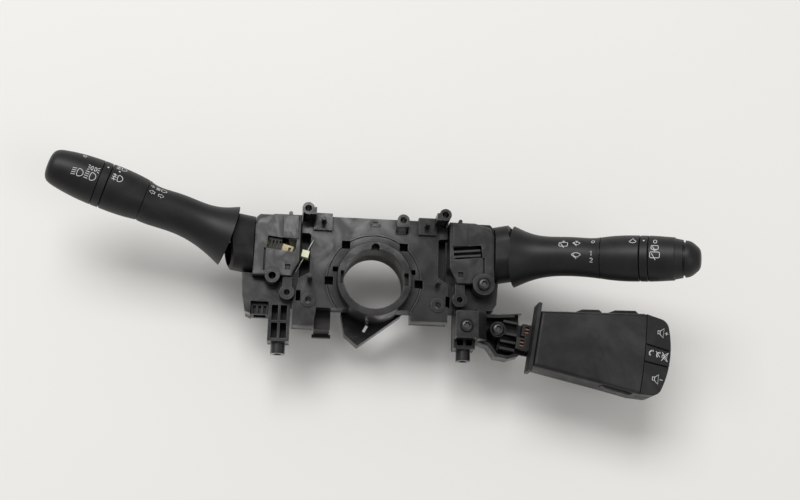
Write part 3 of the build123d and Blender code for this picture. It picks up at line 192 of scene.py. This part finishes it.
def makeDustGroup():
    # thin dust in patches with specks in it, thicker where the surface faces up
    group, into, out = newGroup("dustFilm", {"Vector": (0, 0, 0), "Amount": 0.2}, {"Mask": 0.0})
    films = remap(group, addNoise(group, into["Vector"], **dustLook["patch"]), dustLook["patchBand"])
    spots = remap(group, addNoise(group, into["Vector"], **dustLook["speck"]), dustLook["speckBand"])
    total = calculate(group, "MULTIPLY_ADD", spots, dustLook["speckShare"], films)
    facing = addNode(group, "ShaderNodeNewGeometry").outputs["Normal"]
    upward = addNode(group, "ShaderNodeSeparateXYZ", {"Vector": facing}).outputs["Z"]
    lift = calculate(group, "MAXIMUM", upward, dustLook["onWalls"])
    faced = calculate(group, "MULTIPLY", total, lift)
    feed(group, out, {"Mask": calculate(group, "MULTIPLY", faced, into["Amount"], clamp=True)})
    return group


cavityShadeLook = {"samples": 6, "band": (0.4, 0.9)}


def makeCavityShadeGroup():
    # painted shade: how open the surface lies, 0 deep in a hole or corner, 1 in the open
    group, into, out = newGroup("cavityShade", {"Reach": 6.0 * mm}, {"Mask": 0.0})
    sockets = {"Distance": into["Reach"]}
    light = addNode(group, "ShaderNodeAmbientOcclusion", sockets, samples=cavityShadeLook["samples"]).outputs["AO"]
    feed(group, out, {"Mask": remap(group, light, cavityShadeLook["band"])})
    return group


grainGroup = makeGrainGroup()
edgeGroup = makeEdgeGroup()
flowGroup = makeFlowGroup()
dustGroup = makeDustGroup()
cavityShadeGroup = makeCavityShadeGroup()
print("shader groups ready")


def startMaterial(name):
    material = bpy.data.materials.new(name)
    material.use_nodes = True
    tree = material.node_tree
    vector = addNode(tree, "ShaderNodeTexCoord").outputs["Object"]
    return material, tree, tree.nodes["Principled BSDF"], vector


def plasticLook(color, **changes):
    look = {
        "color": color,
        "flowColor": tuple(1.35 * c for c in color),
        "flowScale": 30.0,
        # lighter colour of the worn edges, partly a painted highlight on them
        "wearColor": tuple(min(1, 2.6 * c + 0.02) for c in color),
        "wear": 3.0,  # gain of the wear and painted highlight on an edge
        "edge": 0.35 * mm,
        "dust": 0.1,
        "dustColor": (0.3, 0.29, 0.27),
        "roughness": (0.46, 0.58),  # beside the flow marks, on them
        "pebble": 2600.0,
        "bump": 0.25,
        "depth": 0.05 * mm,
        "specular": 0.4,
        "shine": (0.0, 0.3),  # beside the flow marks, on them
        "shineRoughness": 0.3,
        "reach": 6.0 * mm,  # how near a wall stands for the painted shade to darken the surface
        "recess": (-90.0, -80.0),  # heights in mm: painted shade, dark and dull below the first, not above the second
        # colour of the painted shade in holes, corners and low levels
        "recessShadeColor": tuple(0.4 * c for c in color),
    }
    return {**look, **changes}


def mouldedPlastic(name, look):
    # base colour, flow marks, worn edges with a painted edge highlight, dust and grain, with painted shade in
    # its recesses: darker and duller there
    material, tree, shader, vector = startMaterial(name)
    grain = placeGroup(tree, grainGroup, vector=vector, pebble=look["pebble"])["Height"]
    edge = placeGroup(tree, edgeGroup, radius=look["edge"], gain=look["wear"])
    flow = placeGroup(tree, flowGroup, vector=vector, scale=look["flowScale"])["Mask"]
    dust = placeGroup(tree, dustGroup, vector=vector, amount=look["dust"])["Mask"]
    # painted shade in holes and corners, from the occlusion of the walls near the surface
    cavityShade = placeGroup(tree, cavityShadeGroup, reach=look["reach"])["Mask"]
    flowed = mixColor(tree, flow, look["color"], look["flowColor"])
    # edges lightened: real wear and a painted highlight
    wornAndLit = mixColor(tree, edge["Mask"], flowed, look["wearColor"])
    dusty = mixColor(tree, dust, wornAndLit, look["dustColor"])
    height = addNode(tree, "ShaderNodeSeparateXYZ", {"Vector": vector}).outputs["Z"]
    raisedOutOfShade = remap(tree, height, [level * mm for level in look["recess"]])
    # painted shade: the surface is darkened and loses its coat low down and in holes and corners
    unshaded = calculate(tree, "MULTIPLY", raisedOutOfShade, cavityShade)
    patches = calculate(tree, "MULTIPLY", flow, unshaded)
    coat = calculate(tree, "MULTIPLY", remap(tree, patches, target=look["shine"]), unshaded)
    relief = {"Strength": look["bump"], "Distance": look["depth"], "Height": grain, "Normal": edge["Normal"]}
    feed(tree, shader, {
        "Base Color": mixColor(tree, unshaded, look["recessShadeColor"], dusty),
        "Roughness": remap(tree, patches, target=look["roughness"]),
        "Specular IOR Level": look["specular"],
        "Coat Weight": coat,
        "Coat Roughness": look["shineRoughness"],
        "Normal": addNode(tree, "ShaderNodeBump", relief).outputs["Normal"],
    })
    return material


def metalLook(color, tarnish, **changes):
    look = {
        "color": color,
        "tarnish": tarnish,
        "stretch": (1.0, 1.0, 0.15),
        "scratch": {"scale": 1800.0, "detail": 4.0},
        "edge": 0.12 * mm,
        "roughness": (0.25, 0.42),
        "bump": 0.2,
        "depth": 0.02 * mm,
    }
    return {**look, **changes}


def brushedMetal(name, look):
    # brushed or plated metal with a stretched scratch pattern
    material, tree, shader, vector = startMaterial(name)
    sockets = {"Vector": vector, "Scale": look["stretch"]}
    stretched = addNode(tree, "ShaderNodeMapping", sockets).outputs["Vector"]
    scratch = addNoise(tree, stretched, **look["scratch"])
    rounded = placeGroup(tree, edgeGroup, radius=look["edge"])["Normal"]
    relief = {"Strength": look["bump"], "Distance": look["depth"], "Height": scratch, "Normal": rounded}
    feed(tree, shader, {
        "Base Color": mixColor(tree, scratch, look["color"], look["tarnish"]),
        "Metallic": 1.0,
        "Roughness": remap(tree, scratch, target=look["roughness"]),
        "Normal": addNode(tree, "ShaderNodeBump", relief).outputs["Normal"],
    })
    return material


def clouded(name, look):
    # one colour that drifts to another, for the ink and the table
    material, tree, shader, vector = startMaterial(name)
    cloud = addNoise(tree, vector, **look["cloud"])
    feed(tree, shader, {
        "Base Color": mixColor(tree, cloud, look["color"], look["otherColor"]),
        "Roughness": look["roughness"],
    })
    return material


plastics = {
    # the carrier gets painted shade on its levels below 11 mm
    "carrierPlastic": plasticLook(
        (0.0065, 0.0067, 0.0073), flowColor=(0.012, 0.0123, 0.0132), flowScale=34.0, roughness=(0.36, 0.28),
        dust=0.06, edge=0.8 * mm, wearColor=(0.13, 0.13, 0.135), wear=4.0, specular=0.18, shine=(0.3, 1.0),
        shineRoughness=0.15, recess=(11.0, 15.0)),
    "modulePlastic": plasticLook(
        (0.0065, 0.0067, 0.0073), flowColor=(0.012, 0.0123, 0.0132), flowScale=70.0, roughness=(0.38, 0.3),
        dust=0.07, edge=0.7 * mm, wearColor=(0.13, 0.13, 0.134), wear=4.0, specular=0.18, shine=(0.4, 1.0),
        shineRoughness=0.22),
    # the column guide's plastic, made darker than the carrier's as painted shade for the guide lying deep; it
    # also colours the dark liners
    "shadedBlackPlastic": plasticLook(
        (0.004, 0.0041, 0.0045), roughness=(0.22, 0.3), dust=0.03, wearColor=(0.12, 0.12, 0.12), bump=0.1,
        specular=0.3),
    "neckPlastic": plasticLook(
        (0.006, 0.0062, 0.0067), roughness=(0.42, 0.5), dust=0.03, specular=0.25, shine=(0.0, 0.2)),
    "stalkPlastic": plasticLook(
        (0.006, 0.0062, 0.0068), flowColor=(0.0075, 0.0077, 0.0085), roughness=(0.44, 0.5), dust=0.01,
        bump=0.5, depth=0.06 * mm, pebble=1900.0, specular=0.35, shine=(0.0, 0.1)),
    "satellitePlastic": plasticLook(
        (0.0085, 0.0087, 0.0094), flowColor=(0.014, 0.0143, 0.0152), flowScale=11.0, roughness=(0.5, 0.42),
        dust=0.05, bump=0.5, depth=0.06 * mm, pebble=1900.0, specular=0.3, shine=(0.0, 0.4),
        shineRoughness=0.45),
    "keyPlastic": plasticLook(
        (0.009, 0.0093, 0.0099), roughness=(0.42, 0.48), dust=0.02, bump=0.3, specular=0.3),
    "socketPlastic": plasticLook(
        (0.006, 0.006, 0.0065), roughness=(0.36, 0.46), dust=0.05, specular=0.25),
    "creamPlastic": plasticLook(
        (0.74, 0.64, 0.42), flowColor=(0.5, 0.36, 0.17), flowScale=320.0, wearColor=(0.85, 0.78, 0.6),
        dustColor=(0.4, 0.33, 0.22)),
    "whiteNylon": plasticLook(
        (0.74, 0.76, 0.5), flowColor=(0.8, 0.8, 0.62), wearColor=(0.9, 0.9, 0.78)),
    "boardGreen": plasticLook(
        (0.008, 0.022, 0.013), roughness=(0.25, 0.35)),
}
metals = {
    "springSteel": metalLook((0.42, 0.42, 0.42), (0.26, 0.26, 0.26)),
    "contactSteel": metalLook((0.09, 0.09, 0.093), (0.02, 0.02, 0.021), roughness=(0.3, 0.5)),
    "screwSteel": metalLook((0.1, 0.1, 0.104), (0.04, 0.04, 0.043), roughness=(0.32, 0.48)),
    "contactCopper": metalLook((0.34, 0.19, 0.13), (0.16, 0.08, 0.055)),
}
inks = {
    "whitePrint": {
        "color": (0.62, 0.62, 0.63), "otherColor": (0.82, 0.82, 0.83), "roughness": 0.6,
        "cloud": {"scale": 900.0, "detail": 3.0},
    },
}
finishes = {name: mouldedPlastic(name, look) for name, look in plastics.items()}
finishes |= {name: brushedMetal(name, look) for name, look in metals.items()}
finishes |= {name: clouded(name, look) for name, look in inks.items()}
print("materials ready", len(finishes))


finishByNode = {
    "carrier_frame": "carrierPlastic",
    "column_guide": "shadedBlackPlastic",
    "harness_socket": "socketPlastic",
    "screws": "screwSteel",
    "light_neck": "neckPlastic",
    "light_plug_socket": "socketPlastic",
    "light_cradle": "creamPlastic",
    "light_contacts": "socketPlastic",
    "wiper_neck": "neckPlastic",
    "wiper_plug_socket": "socketPlastic",
    "wiper_contacts": "contactSteel",
    "trip_button": "stalkPlastic",
    "cancel_pawl": "whiteNylon",
    "cancel_wire": "springSteel",
    "satellite_front": "satellitePlastic",
    "satellite_rear": "satellitePlastic",
    "satellite_plug": "socketPlastic",
    "scroll_wheel": "keyPlastic",
    "wheel_axle": "springSteel",
}
finishByEnding = {
    "sleeve": "stalkPlastic",
    "band": "stalkPlastic",
    "ring": "stalkPlastic",
    "knob": "stalkPlastic",
    "key": "keyPlastic",
    "button": "keyPlastic",
    "board": "boardGreen",
    "spring": "springSteel",
    "plunger": "whiteNylon",
    "cam": "whiteNylon",
    "terminals": "contactCopper",
}


def finishFor(node):
    ending = node.split("_")[-1]
    return finishByNode.get(node, finishByEnding.get(ending, "modulePlastic"))


for name, node in cad.items():
    node.data.materials.clear()
    node.data.materials.append(finishes[finishFor(name)])
print("nodes finished", len(cad))


def newPiece(name, bm, material):
    mesh = bpy.data.meshes.new(name)
    bm.to_mesh(mesh)
    bm.free()
    mesh.materials.append(material)
    piece = bpy.data.objects.new(name, mesh)
    scene.collection.objects.link(piece)
    return piece


def islandBoxes(node):
    # lowest and highest corner of each separate solid of a node
    bm = bmesh.new()
    bm.from_mesh(cad[node].data)
    bmesh.ops.remove_doubles(bm, verts=bm.verts, dist=0.001 * mm)
    waiting = set(bm.verts)
    boxes = []
    while waiting:
        found = {waiting.pop()}
        ahead = list(found)
        while ahead:
            vert = ahead.pop()
            near = {e.other_vert(vert) for e in vert.link_edges} & waiting
            waiting -= near
            found |= near
            ahead += near
        corners = list(zip(*[v.co for v in found]))
        boxes.append((Vector([min(c) for c in corners]), Vector([max(c) for c in corners])))
    bm.free()
    return sorted(boxes, key=lambda box: box[0].x)


screwLook = {
    "sides": 48,
    "floor": 0.875,
    "lobe": 0.26,
    # radius and depth below the top: from the recess floor up to its rim, then down to the washer face
    "recess": ((1.61, 1.7), (1.75, 0.2), (1.89, 0.05)),
    "dome": ((2.5, 0.1), (3.3, 0.45), (3.85, 1.1), (4.1, 1.6), (4.1, 2.3), (3.9, 2.6)),
    "shank": 2.0,
    "sharpAngle": 40.0,
}


def growLoop(bm, edges, centre, radius, depth, lobe=0.0):
    # the rim is extruded, then shaped to the next radius and depth, with six lobes if asked
    grown = bmesh.ops.extrude_edge_only(bm, edges=edges)["geom"]
    rim = {item for item in grown if isinstance(item, bmesh.types.BMVert)}
    for vert in rim:
        away = vert.co - centre
        turn = atan2(away.y, away.x)
        reach = (radius + lobe * cos(6 * turn)) * mm
        vert.co = centre + Vector((reach * cos(turn), reach * sin(turn), -depth * mm))
    return [item for item in grown if isinstance(item, bmesh.types.BMEdge) and set(item.verts) <= rim]


def turnScrew(bm, low, high):
    # pan head with a six-lobed recess on a plain shank, open side up
    look = screwLook
    top = Vector(((low.x + high.x) / 2, (low.y + high.y) / 2, high.z))
    floor = Matrix.Translation(top - Vector((0, 0, look["recess"][0][1] * mm)))
    disc = bmesh.ops.create_circle(
        bm, cap_ends=True, radius=look["floor"] * mm, segments=look["sides"], matrix=floor)
    corners = set(disc["verts"])
    edges = [e for e in bm.edges if e.is_boundary and set(e.verts) <= corners]
    for radius, depth in look["recess"]:
        edges = growLoop(bm, edges, top, radius, depth, look["lobe"])
    for radius, depth in look["dome"]:
        edges = growLoop(bm, edges, top, radius, depth)
    washerFace = look["dome"][-1][1]
    for depth in (washerFace, (high.z - low.z) / mm):
        edges = growLoop(bm, edges, top, look["shank"], depth)
    bmesh.ops.holes_fill(bm, edges=edges, sides=0)


def makeScrews(boxes):
    bm = bmesh.new()
    for low, high in boxes:
        turnScrew(bm, low, high)
    bmesh.ops.recalc_face_normals(bm, faces=bm.faces)
    for face in bm.faces:
        face.smooth = True
    piece = newPiece("panScrews", bm, finishes["screwSteel"])
    piece.data.set_sharp_from_angle(angle=radians(screwLook["sharpAngle"]))
    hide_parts("screws")
    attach(piece, cad["screws"]["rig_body"])


screwBoxes = islandBoxes("screws")
makeScrews(screwBoxes)
print("screws turned", len(screwBoxes))


seamLook = {"inner": 11.9, "outer": 12.9, "half": 0.7, "steps": 72}
seams = {
    # joint on the stalk's axis, distance out from its pivot in mm, body
    "lightSeamShadeRing": ("light_knob_turn", 81.95, "light_lever"),
    "wiperSeamShadeRing": ("rear_wiper_turn", 77.95, "wiper_lever"),
}


def stalkAxis(joint):
    # the joint turns about the stalk's own axis, which runs out from its pivot
    return Vector(joints[joint]["pos_m"]), Vector(joints[joint]["axis"]).normalized()


def makeSeamShadeRing(name, joint, along, body):
    # thin dark ring behind the seam between a sleeve and its turning ring, painted shade in the seam's gap
    look = seamLook
    start, way = stalkAxis(joint)
    out = way.orthogonal().normalized()
    middle = start + way * along * mm
    corners = ((look["inner"], -1), (look["outer"], -1), (look["outer"], 1), (look["inner"], 1))
    bm = bmesh.new()
    profile = [bm.verts.new(middle + out * r * mm + way * side * look["half"] * mm) for r, side in corners]
    edges = [bm.edges.new((profile[i - 1], profile[i])) for i in range(4)]
    bmesh.ops.spin(
        bm, geom=profile + edges, cent=middle, axis=way, angle=2 * pi, steps=look["steps"], use_merge=True)
    bmesh.ops.recalc_face_normals(bm, faces=bm.faces)
    piece = newPiece(name, bm, finishes["shadedBlackPlastic"])
    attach(piece, body)


for name, (joint, along, body) in seams.items():
    makeSeamShadeRing(name, joint, along, body)
print("seam rings set", len(seams))


gapShadeLips = {
    # dark plates behind the carrier that keep light out of its slits and paint shade there: lowest and
    # highest corner in mm
    "left": ((-48.45, -1.0, 9.2), (-46.6, 46.0, 9.95)),
    "upperRight": ((46.6, 41.0, 9.2), (50.0, 45.8, 9.95)),
    "upperMiddle": ((20.2, 32.2, 20.6), (22.6, 35.0, 21.45)),
    "lowerLeft": ((-52.0, -14.0, 1.1), (-46.5, -0.5, 1.9)),
    "lowerRight": ((48.0, -14.0, 1.1), (53.0, -1.5, 1.9)),
}


def makeGapShadeLips():
    bm = bmesh.new()
    for low, high in gapShadeLips.values():
        low, high = Vector(low) * mm, Vector(high) * mm
        box = Matrix.Translation((low + high) / 2) @ Matrix.Diagonal((*(high - low), 1))
        bmesh.ops.create_cube(bm, size=1.0, matrix=box)
    piece = newPiece("gapShadeLips", bm, finishes["shadedBlackPlastic"])
    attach(piece, cad["carrier_frame"]["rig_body"])


makeGapShadeLips()
print("gap lips set", len(gapShadeLips))


# a mark is a list of strokes in units of its own, which its size turns into millimetres:
# x runs to the driver's right along the stalk or the satellite, y up across it
def bow(cx, cy, rx, ry, first, last, steps=10):
    turns = [radians(first + (last - first) * i / steps) for i in range(steps + 1)]
    return [(cx + rx * cos(t), cy + ry * sin(t)) for t in turns]


def lampMark(slope, reach=2.45):
    lens = bow(0.5, 0, 3.0, reach, -90, 90) + bow(0.5, 0, 0.8, reach, 90, 270)
    rays = [[(-1.1, y * reach), (-3.8, y * reach + slope)] for y in (-0.84, -0.28, 0.28, 0.84)]
    return [lens] + rays


def fogMark(slope):
    lens = bow(0.7, 0, 2.7, 2.1, -90, 90) + bow(0.7, 0, 0.6, 2.1, 90, 270)
    rays = [[(-0.6, y), (-3.4, y + slope)] for y in (-1.5, 0, 1.5)]
    wave = [(-2.0 + 0.35 * sin(y * 2.6), y) for y in [-2.3 + 0.46 * i for i in range(11)]]
    return [lens, wave] + rays


def sideLampMark():
    marks = []
    for side in (-1, 1):
        marks.append([(side * x, y) for x, y in bow(0.6, 0, 1.3, 1.3, -90, 90) + [(0.6, -1.3)]])
        marks += [[(side * 2.4, y), (side * 3.7, y * 1.6)] for y in (-1.1, 0, 1.1)]
    return marks


def arrowMark(way):
    shape = [(0, 0.7), (1.5, 0.7), (1.5, 1.5), (3.2, 0), (1.5, -1.5), (1.5, -0.7), (0, -0.7), (0, 0.7)]
    return [[(way * x, y) for x, y in shape]]


def screenMark(spray):
    # fan-shaped windscreen with its blade, and the spray on it if asked
    top = bow(0, -1.6, 3.6, 3.4, 142, 38)
    low = bow(0, -2.4, 1.3, 1.6, 52, 128, 4)
    marks = [top + low + [top[0]], [(-1.9, 1.0), (0.2, -2.3)]]
    if spray:
        marks += [[(-0.9, 3.1), (0, 2.5), (0.9, 3.1)], [(0, 2.5), (0, 1.0)]]
    return marks


def rearMark(spray):
    # rounded rear window with its blade, and the spray on it if asked
    w, h, r = 2.6, 1.5, 0.7
    corners = ((w - r, h - r, 0), (r - w, h - r, 90), (r - w, r - h, 180), (w - r, r - h, 270))
    pane = [p for x, y, t in corners for p in bow(x, y, r, r, t, t + 90, 4)]
    marks = [pane + [pane[0]], [(-1.7, 0.8), (0.4, -2.7)]]
    if spray:
        marks += [[(-0.9, 2.3), (0, 2.9), (0.9, 2.3)], [(0, 2.9), (0, 1.5)]]
    return marks


def dropMark():
    low = bow(0, -0.6, 1.9, 1.0, 180, 360)
    return [[(-1.9, -0.6), (-0.6, 0.7), (0, 2.0), (0.6, 0.7), (1.9, -0.6)], low]


def ringMark():
    return [bow(0, 0, 0.95, 1.25, 0, 360, 16)]


def dotMark():
    return [[(-0.35, -0.4), (-0.35, 0.4)], [(0, -0.55), (0, 0.55)], [(0.35, -0.4), (0.35, 0.4)]]


def oneMark():
    return [[(-0.8, 0.9), (0.1, 1.7), (0.1, -1.7)]]


def twoMark():
    return [bow(0, 0.7, 0.95, 1.0, 160, -30, 8) + [(-1.0, -1.7), (1.1, -1.7)]]


def speakerMark(extra):
    horn = [(-2.0, 0.8), (-2.0, -0.8), (-0.9, -0.8), (0.9, -2.4), (0.9, 2.4), (-0.9, 0.8), (-2.0, 0.8)]
    marks = [horn, [(-0.9, 0.8), (-0.9, -0.8)]]
    if extra in ("more", "less"):
        marks.append([(1.6, 0), (3.2, 0)])
    if extra == "more":
        marks.append([(2.4, -0.8), (2.4, 0.8)])
    if extra == "mute":
        marks += [[(-2.2, 2.6), (1.6, -2.6)], [(1.6, 2.6), (-2.2, -2.6)]]
    return marks


def handsetMark(crossed):
    grip = bow(1.5, 0, 2.2, 2.3, 128, 232, 8)
    marks = [grip, [(x + 0.3, y * 0.96) for x, y in grip]]
    cup = [(0.1, 1.85), (0.75, 1.3), (1.15, 1.75), (0.5, 2.2), (0.1, 1.85)]
    marks += [[(x, end * y) for x, y in cup] for end in (-1, 1)]
    if crossed:
        marks.append([(-2.2, 0.9), (2.4, -0.9)])
    return marks


printLook = {
    "line": 0.38 * mm,
    "lift": 0.03 * mm,
    "thick": 0.05 * mm,
    "step": 0.6 * mm,  # longest edge, so that a stroke follows the surface
    "halvings": 3,
    "edgeDrop": 20.0 * mm,  # how far a point falls where it misses the surface
}


def flatRibbons(strokes, size):
    # the strokes as ribbons of one width, flat on the table's plane
    curve = bpy.data.curves.new("strokes", "CURVE")
    curve.dimensions = "3D"
    curve.twist_mode = "Z_UP"
    curve.extrude = printLook["line"] / 2
    for stroke in strokes:
        spline = curve.splines.new("POLY")
        spline.points.add(len(stroke) - 1)
        for point, (x, y) in zip(spline.points, stroke):
            point.co = (x * size * mm, y * size * mm, 0, 1)
            point.tilt = pi / 2
    holder = bpy.data.objects.new("strokes", curve)
    flat = bpy.data.meshes.new_from_object(holder)
    bm = bmesh.new()
    bm.from_mesh(flat)
    bpy.data.objects.remove(holder)
    bpy.data.curves.remove(curve)
    bpy.data.meshes.remove(flat)
    return bm


def surfaceTree(node):
    bm = bmesh.new()
    bm.from_mesh(cad[node].data)
    tree = BVHTree.FromBMesh(bm)
    bm.free()
    return tree


def layPrint(name, strokes, size, node, place):
    # place turns a flat point into a start and a way in, towards the surface
    body = cad[node]["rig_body"]
    tree = surfaceTree(node)
    bm = flatRibbons(strokes, size)
    for _ in range(printLook["halvings"]):
        longEdges = [e for e in bm.edges if e.calc_length() > printLook["step"]]
        bmesh.ops.subdivide_edges(bm, edges=longEdges, cuts=1, use_grid_fill=True)
    for vert in bm.verts:
        start, way = place(vert.co.x, vert.co.y)
        hit = tree.ray_cast(start, way)[0]
        if hit is None:
            hit = start + way * printLook["edgeDrop"]
        vert.co = hit - way * printLook["lift"]
    bmesh.ops.recalc_face_normals(bm, faces=bm.faces)
    piece = newPiece(name, bm, finishes["whitePrint"])
    film = piece.modifiers.new("film", "SOLIDIFY")
    film.thickness = printLook["thick"]
    film.offset = 1.0
    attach(piece, body)


stalkWrap = {"radius": 13.6 * mm, "reach": 40.0 * mm}
stalkJoints = {"light": "light_knob_turn", "wiper": "rear_wiper_turn"}
stalkPrints = {
    # mark, stalk, distance out from the pivot in mm, degrees up from the front, size, node
    "dippedLampPrint": (lampMark(-0.5), "light", 125.4, -5.7, 0.97, "light_knob"),
    "mainLampPrint": (lampMark(0.0), "light", 117.4, -4.5, 0.97, "light_knob"),
    "sideLampPrint": (sideLampMark(), "light", 117.0, 16.1, 1.0, "light_knob"),
    "knobOffPrint": (ringMark(), "light", 125.0, 51.8, 1.0, "light_knob"),
    "lightPointerPrint": (dotMark(), "light", 109.3, 36.6, 1.0, "light_band"),
    "frontFogPrint": (fogMark(-0.5), "light", 101.3, 53.0, 0.95, "fog_ring"),
    "fogDotPrint": (dotMark(), "light", 101.9, 36.5, 1.15, "fog_ring"),
    "rearFogPrint": (fogMark(0.0), "light", 101.8, 15.7, 1.0, "fog_ring"),
    "flashPrint": (arrowMark(-1), "light", 78.5, 40.5, 0.7, "light_sleeve"),
    "highBeamPrint": (lampMark(0.0, 1.6), "light", 73.5, 41.5, 0.95, "light_sleeve"),
    "leftTurnPrint": (arrowMark(-1), "light", 77.1, 18.9, 1.1, "light_sleeve"),
    "rightTurnPrint": (arrowMark(1), "light", 74.6, 17.9, 1.1, "light_sleeve"),
    "screenWashPrint": (rearMark(True), "wiper", 54.9, 25.5, 1.05, "wiper_sleeve"),
    "screenSprayPrint": (screenMark(True), "wiper", 63.2, 29.1, 0.85, "wiper_sleeve"),
    "screenWipePrint": (screenMark(False), "wiper", 63.4, -8.5, 1.05, "wiper_sleeve"),
    "wiperOffPrint": (ringMark(), "wiper", 73.6, 37.8, 1.0, "wiper_sleeve"),
    "wiperOnePrint": (oneMark(), "wiper", 73.0, -1.8, 0.95, "wiper_sleeve"),
    "wiperTwoPrint": (twoMark(), "wiper", 73.1, -21.5, 0.85, "wiper_sleeve"),
    "sensorDropPrint": (dropMark(), "wiper", 98.8, 34.1, 1.1, "sensor_ring"),
    "wiperPointerPrint": (dotMark(), "wiper", 105.6, 35.0, 1.0, "wiper_band"),
    "rearOffPrint": (ringMark(), "wiper", 112.7, 32.5, 1.1, "rear_wiper_knob"),
    "rearWipePrint": (rearMark(False), "wiper", 112.7, 13.8, 0.85, "rear_wiper_knob"),
    "rearWashPrint": (rearMark(True), "wiper", 112.8, -5.8, 1.15, "rear_wiper_knob"),
}


def stalkPlace(stalk, along, turn):
    # wraps a flat point round the stalk and starts it outside
    start, way = stalkAxis(stalkJoints[stalk])
    side = 1 if way.x > 0 else -1
    up = Vector((-way.y, way.x, 0)).normalized() * side
    front = way.cross(up) * side

    def place(x, y):
        centre = start + way * (along * mm + side * x)
        angle = radians(turn) + y / stalkWrap["radius"]
        outward = up * sin(angle) + front * cos(angle)
        return centre + outward * stalkWrap["reach"], -outward

    return place


for name, (strokes, stalk, along, turn, size, node) in stalkPrints.items():
    layPrint(name, strokes, size, node, stalkPlace(stalk, along, turn))


satelliteFace = {"start": Vector((105.0, -33.7, 80.0)) * mm, "turn": -9.1}
keyPrints = {
    # mark, distance along and across the satellite in mm, tilt in degrees, size, node
    "volumeUpPrint": (speakerMark("more"), 79.6, 18.5, 0, 1.3, "volume_up_key"),
    "callPrint": (handsetMark(False), 74.0, 4.6, -28, 0.95, "call_key"),
    "hangUpPrint": (handsetMark(True), 78.8, 4.2, -28, 0.9, "call_key"),
    "mutePrint": (speakerMark("mute"), 83.9, 3.3, 0, 1.1, "call_key"),
    "volumeDownPrint": (speakerMark("less"), 79.9, -12.0, 0, 1.3, "volume_down_key"),
}


def satellitePlace(along, across, tilt):
    # starts a flat point well in front of the satellite's face
    turn = radians(satelliteFace["turn"])
    way = Vector((cos(turn), sin(turn), 0))
    up = Vector((-way.y, way.x, 0))

    def place(x, y):
        flat = Matrix.Rotation(radians(tilt), 2) @ Vector((x, y))
        spot = satelliteFace["start"] + way * (along * mm + flat.x) + up * (across * mm + flat.y)
        return spot, Vector((0, 0, -1))

    return place


for name, (strokes, along, across, tilt, size, node) in keyPrints.items():
    layPrint(name, strokes, size, node, satellitePlace(along, across, tilt))
print("symbols printed", len(stalkPrints) + len(keyPrints))


tableLook = {
    "size": 6.0,
    "color": (0.9, 0.89, 0.87), "otherColor": (0.864, 0.8544, 0.8352), "roughness": 0.7,
    "cloud": {"scale": 3.0, "detail": 3.0},
}
tableTop = cadBox[0][2]


def makeTable():
    bm = bmesh.new()
    bmesh.ops.create_grid(bm, x_segments=1, y_segments=1, size=tableLook["size"] / 2)
    bmesh.ops.translate(bm, verts=bm.verts, vec=(0, 0, tableTop))
    table = newPiece("tableTop", bm, clouded("paleTable", tableLook))


lamps = {
    "ceilingPanel": {"place": (-1.2, 1.93, 3.5), "aim": (-1.2, 1.93, 0), "size": (3.0, 2.0), "power": 120.0},
    "fillPanel": {"place": (1.8, -1.2, 3.4), "aim": (0, 0, 0), "size": (1.6, 1.6), "power": 16.0},
}


def makeLamp(name, look):
    lamp = bpy.data.lights.new(name, "AREA")
    lamp.shape = "RECTANGLE"
    lamp.size, lamp.size_y = look["size"]
    lamp.energy = look["power"]
    light = bpy.data.objects.new(name, lamp)
    light.location = look["place"]
    light.rotation_euler = (Vector(look["aim"]) - light.location).to_track_quat("-Z", "Y").to_euler()
    scene.collection.objects.link(light)


roomLook = {"Color": (1.0, 0.99, 0.97, 1), "Strength": 0.4}


def makeRoom():
    room = bpy.data.worlds.new("softRoom")
    room.use_nodes = True
    feed(room.node_tree, room.node_tree.nodes["Background"], roomLook)
    scene.world = room


viewLook = {"lens": 54.0, "sensor": 36.0, "place": (-48.2, -175.6, 778.5), "turn": (14.467, -5.269, 1.439)}


def makeCamera():
    lens = bpy.data.cameras.new("view")
    lens.lens = viewLook["lens"]
    lens.sensor_width = viewLook["sensor"]
    camera = bpy.data.objects.new("view", lens)
    camera.location = Vector(viewLook["place"]) * mm
    camera.rotation_euler = Euler([radians(a) for a in viewLook["turn"]])
    scene.collection.objects.link(camera)
    scene.camera = camera


makeTable()
for name, look in lamps.items():
    makeLamp(name, look)
makeRoom()
makeCamera()
scene.view_settings.view_transform = "Standard"
print("stage ready")
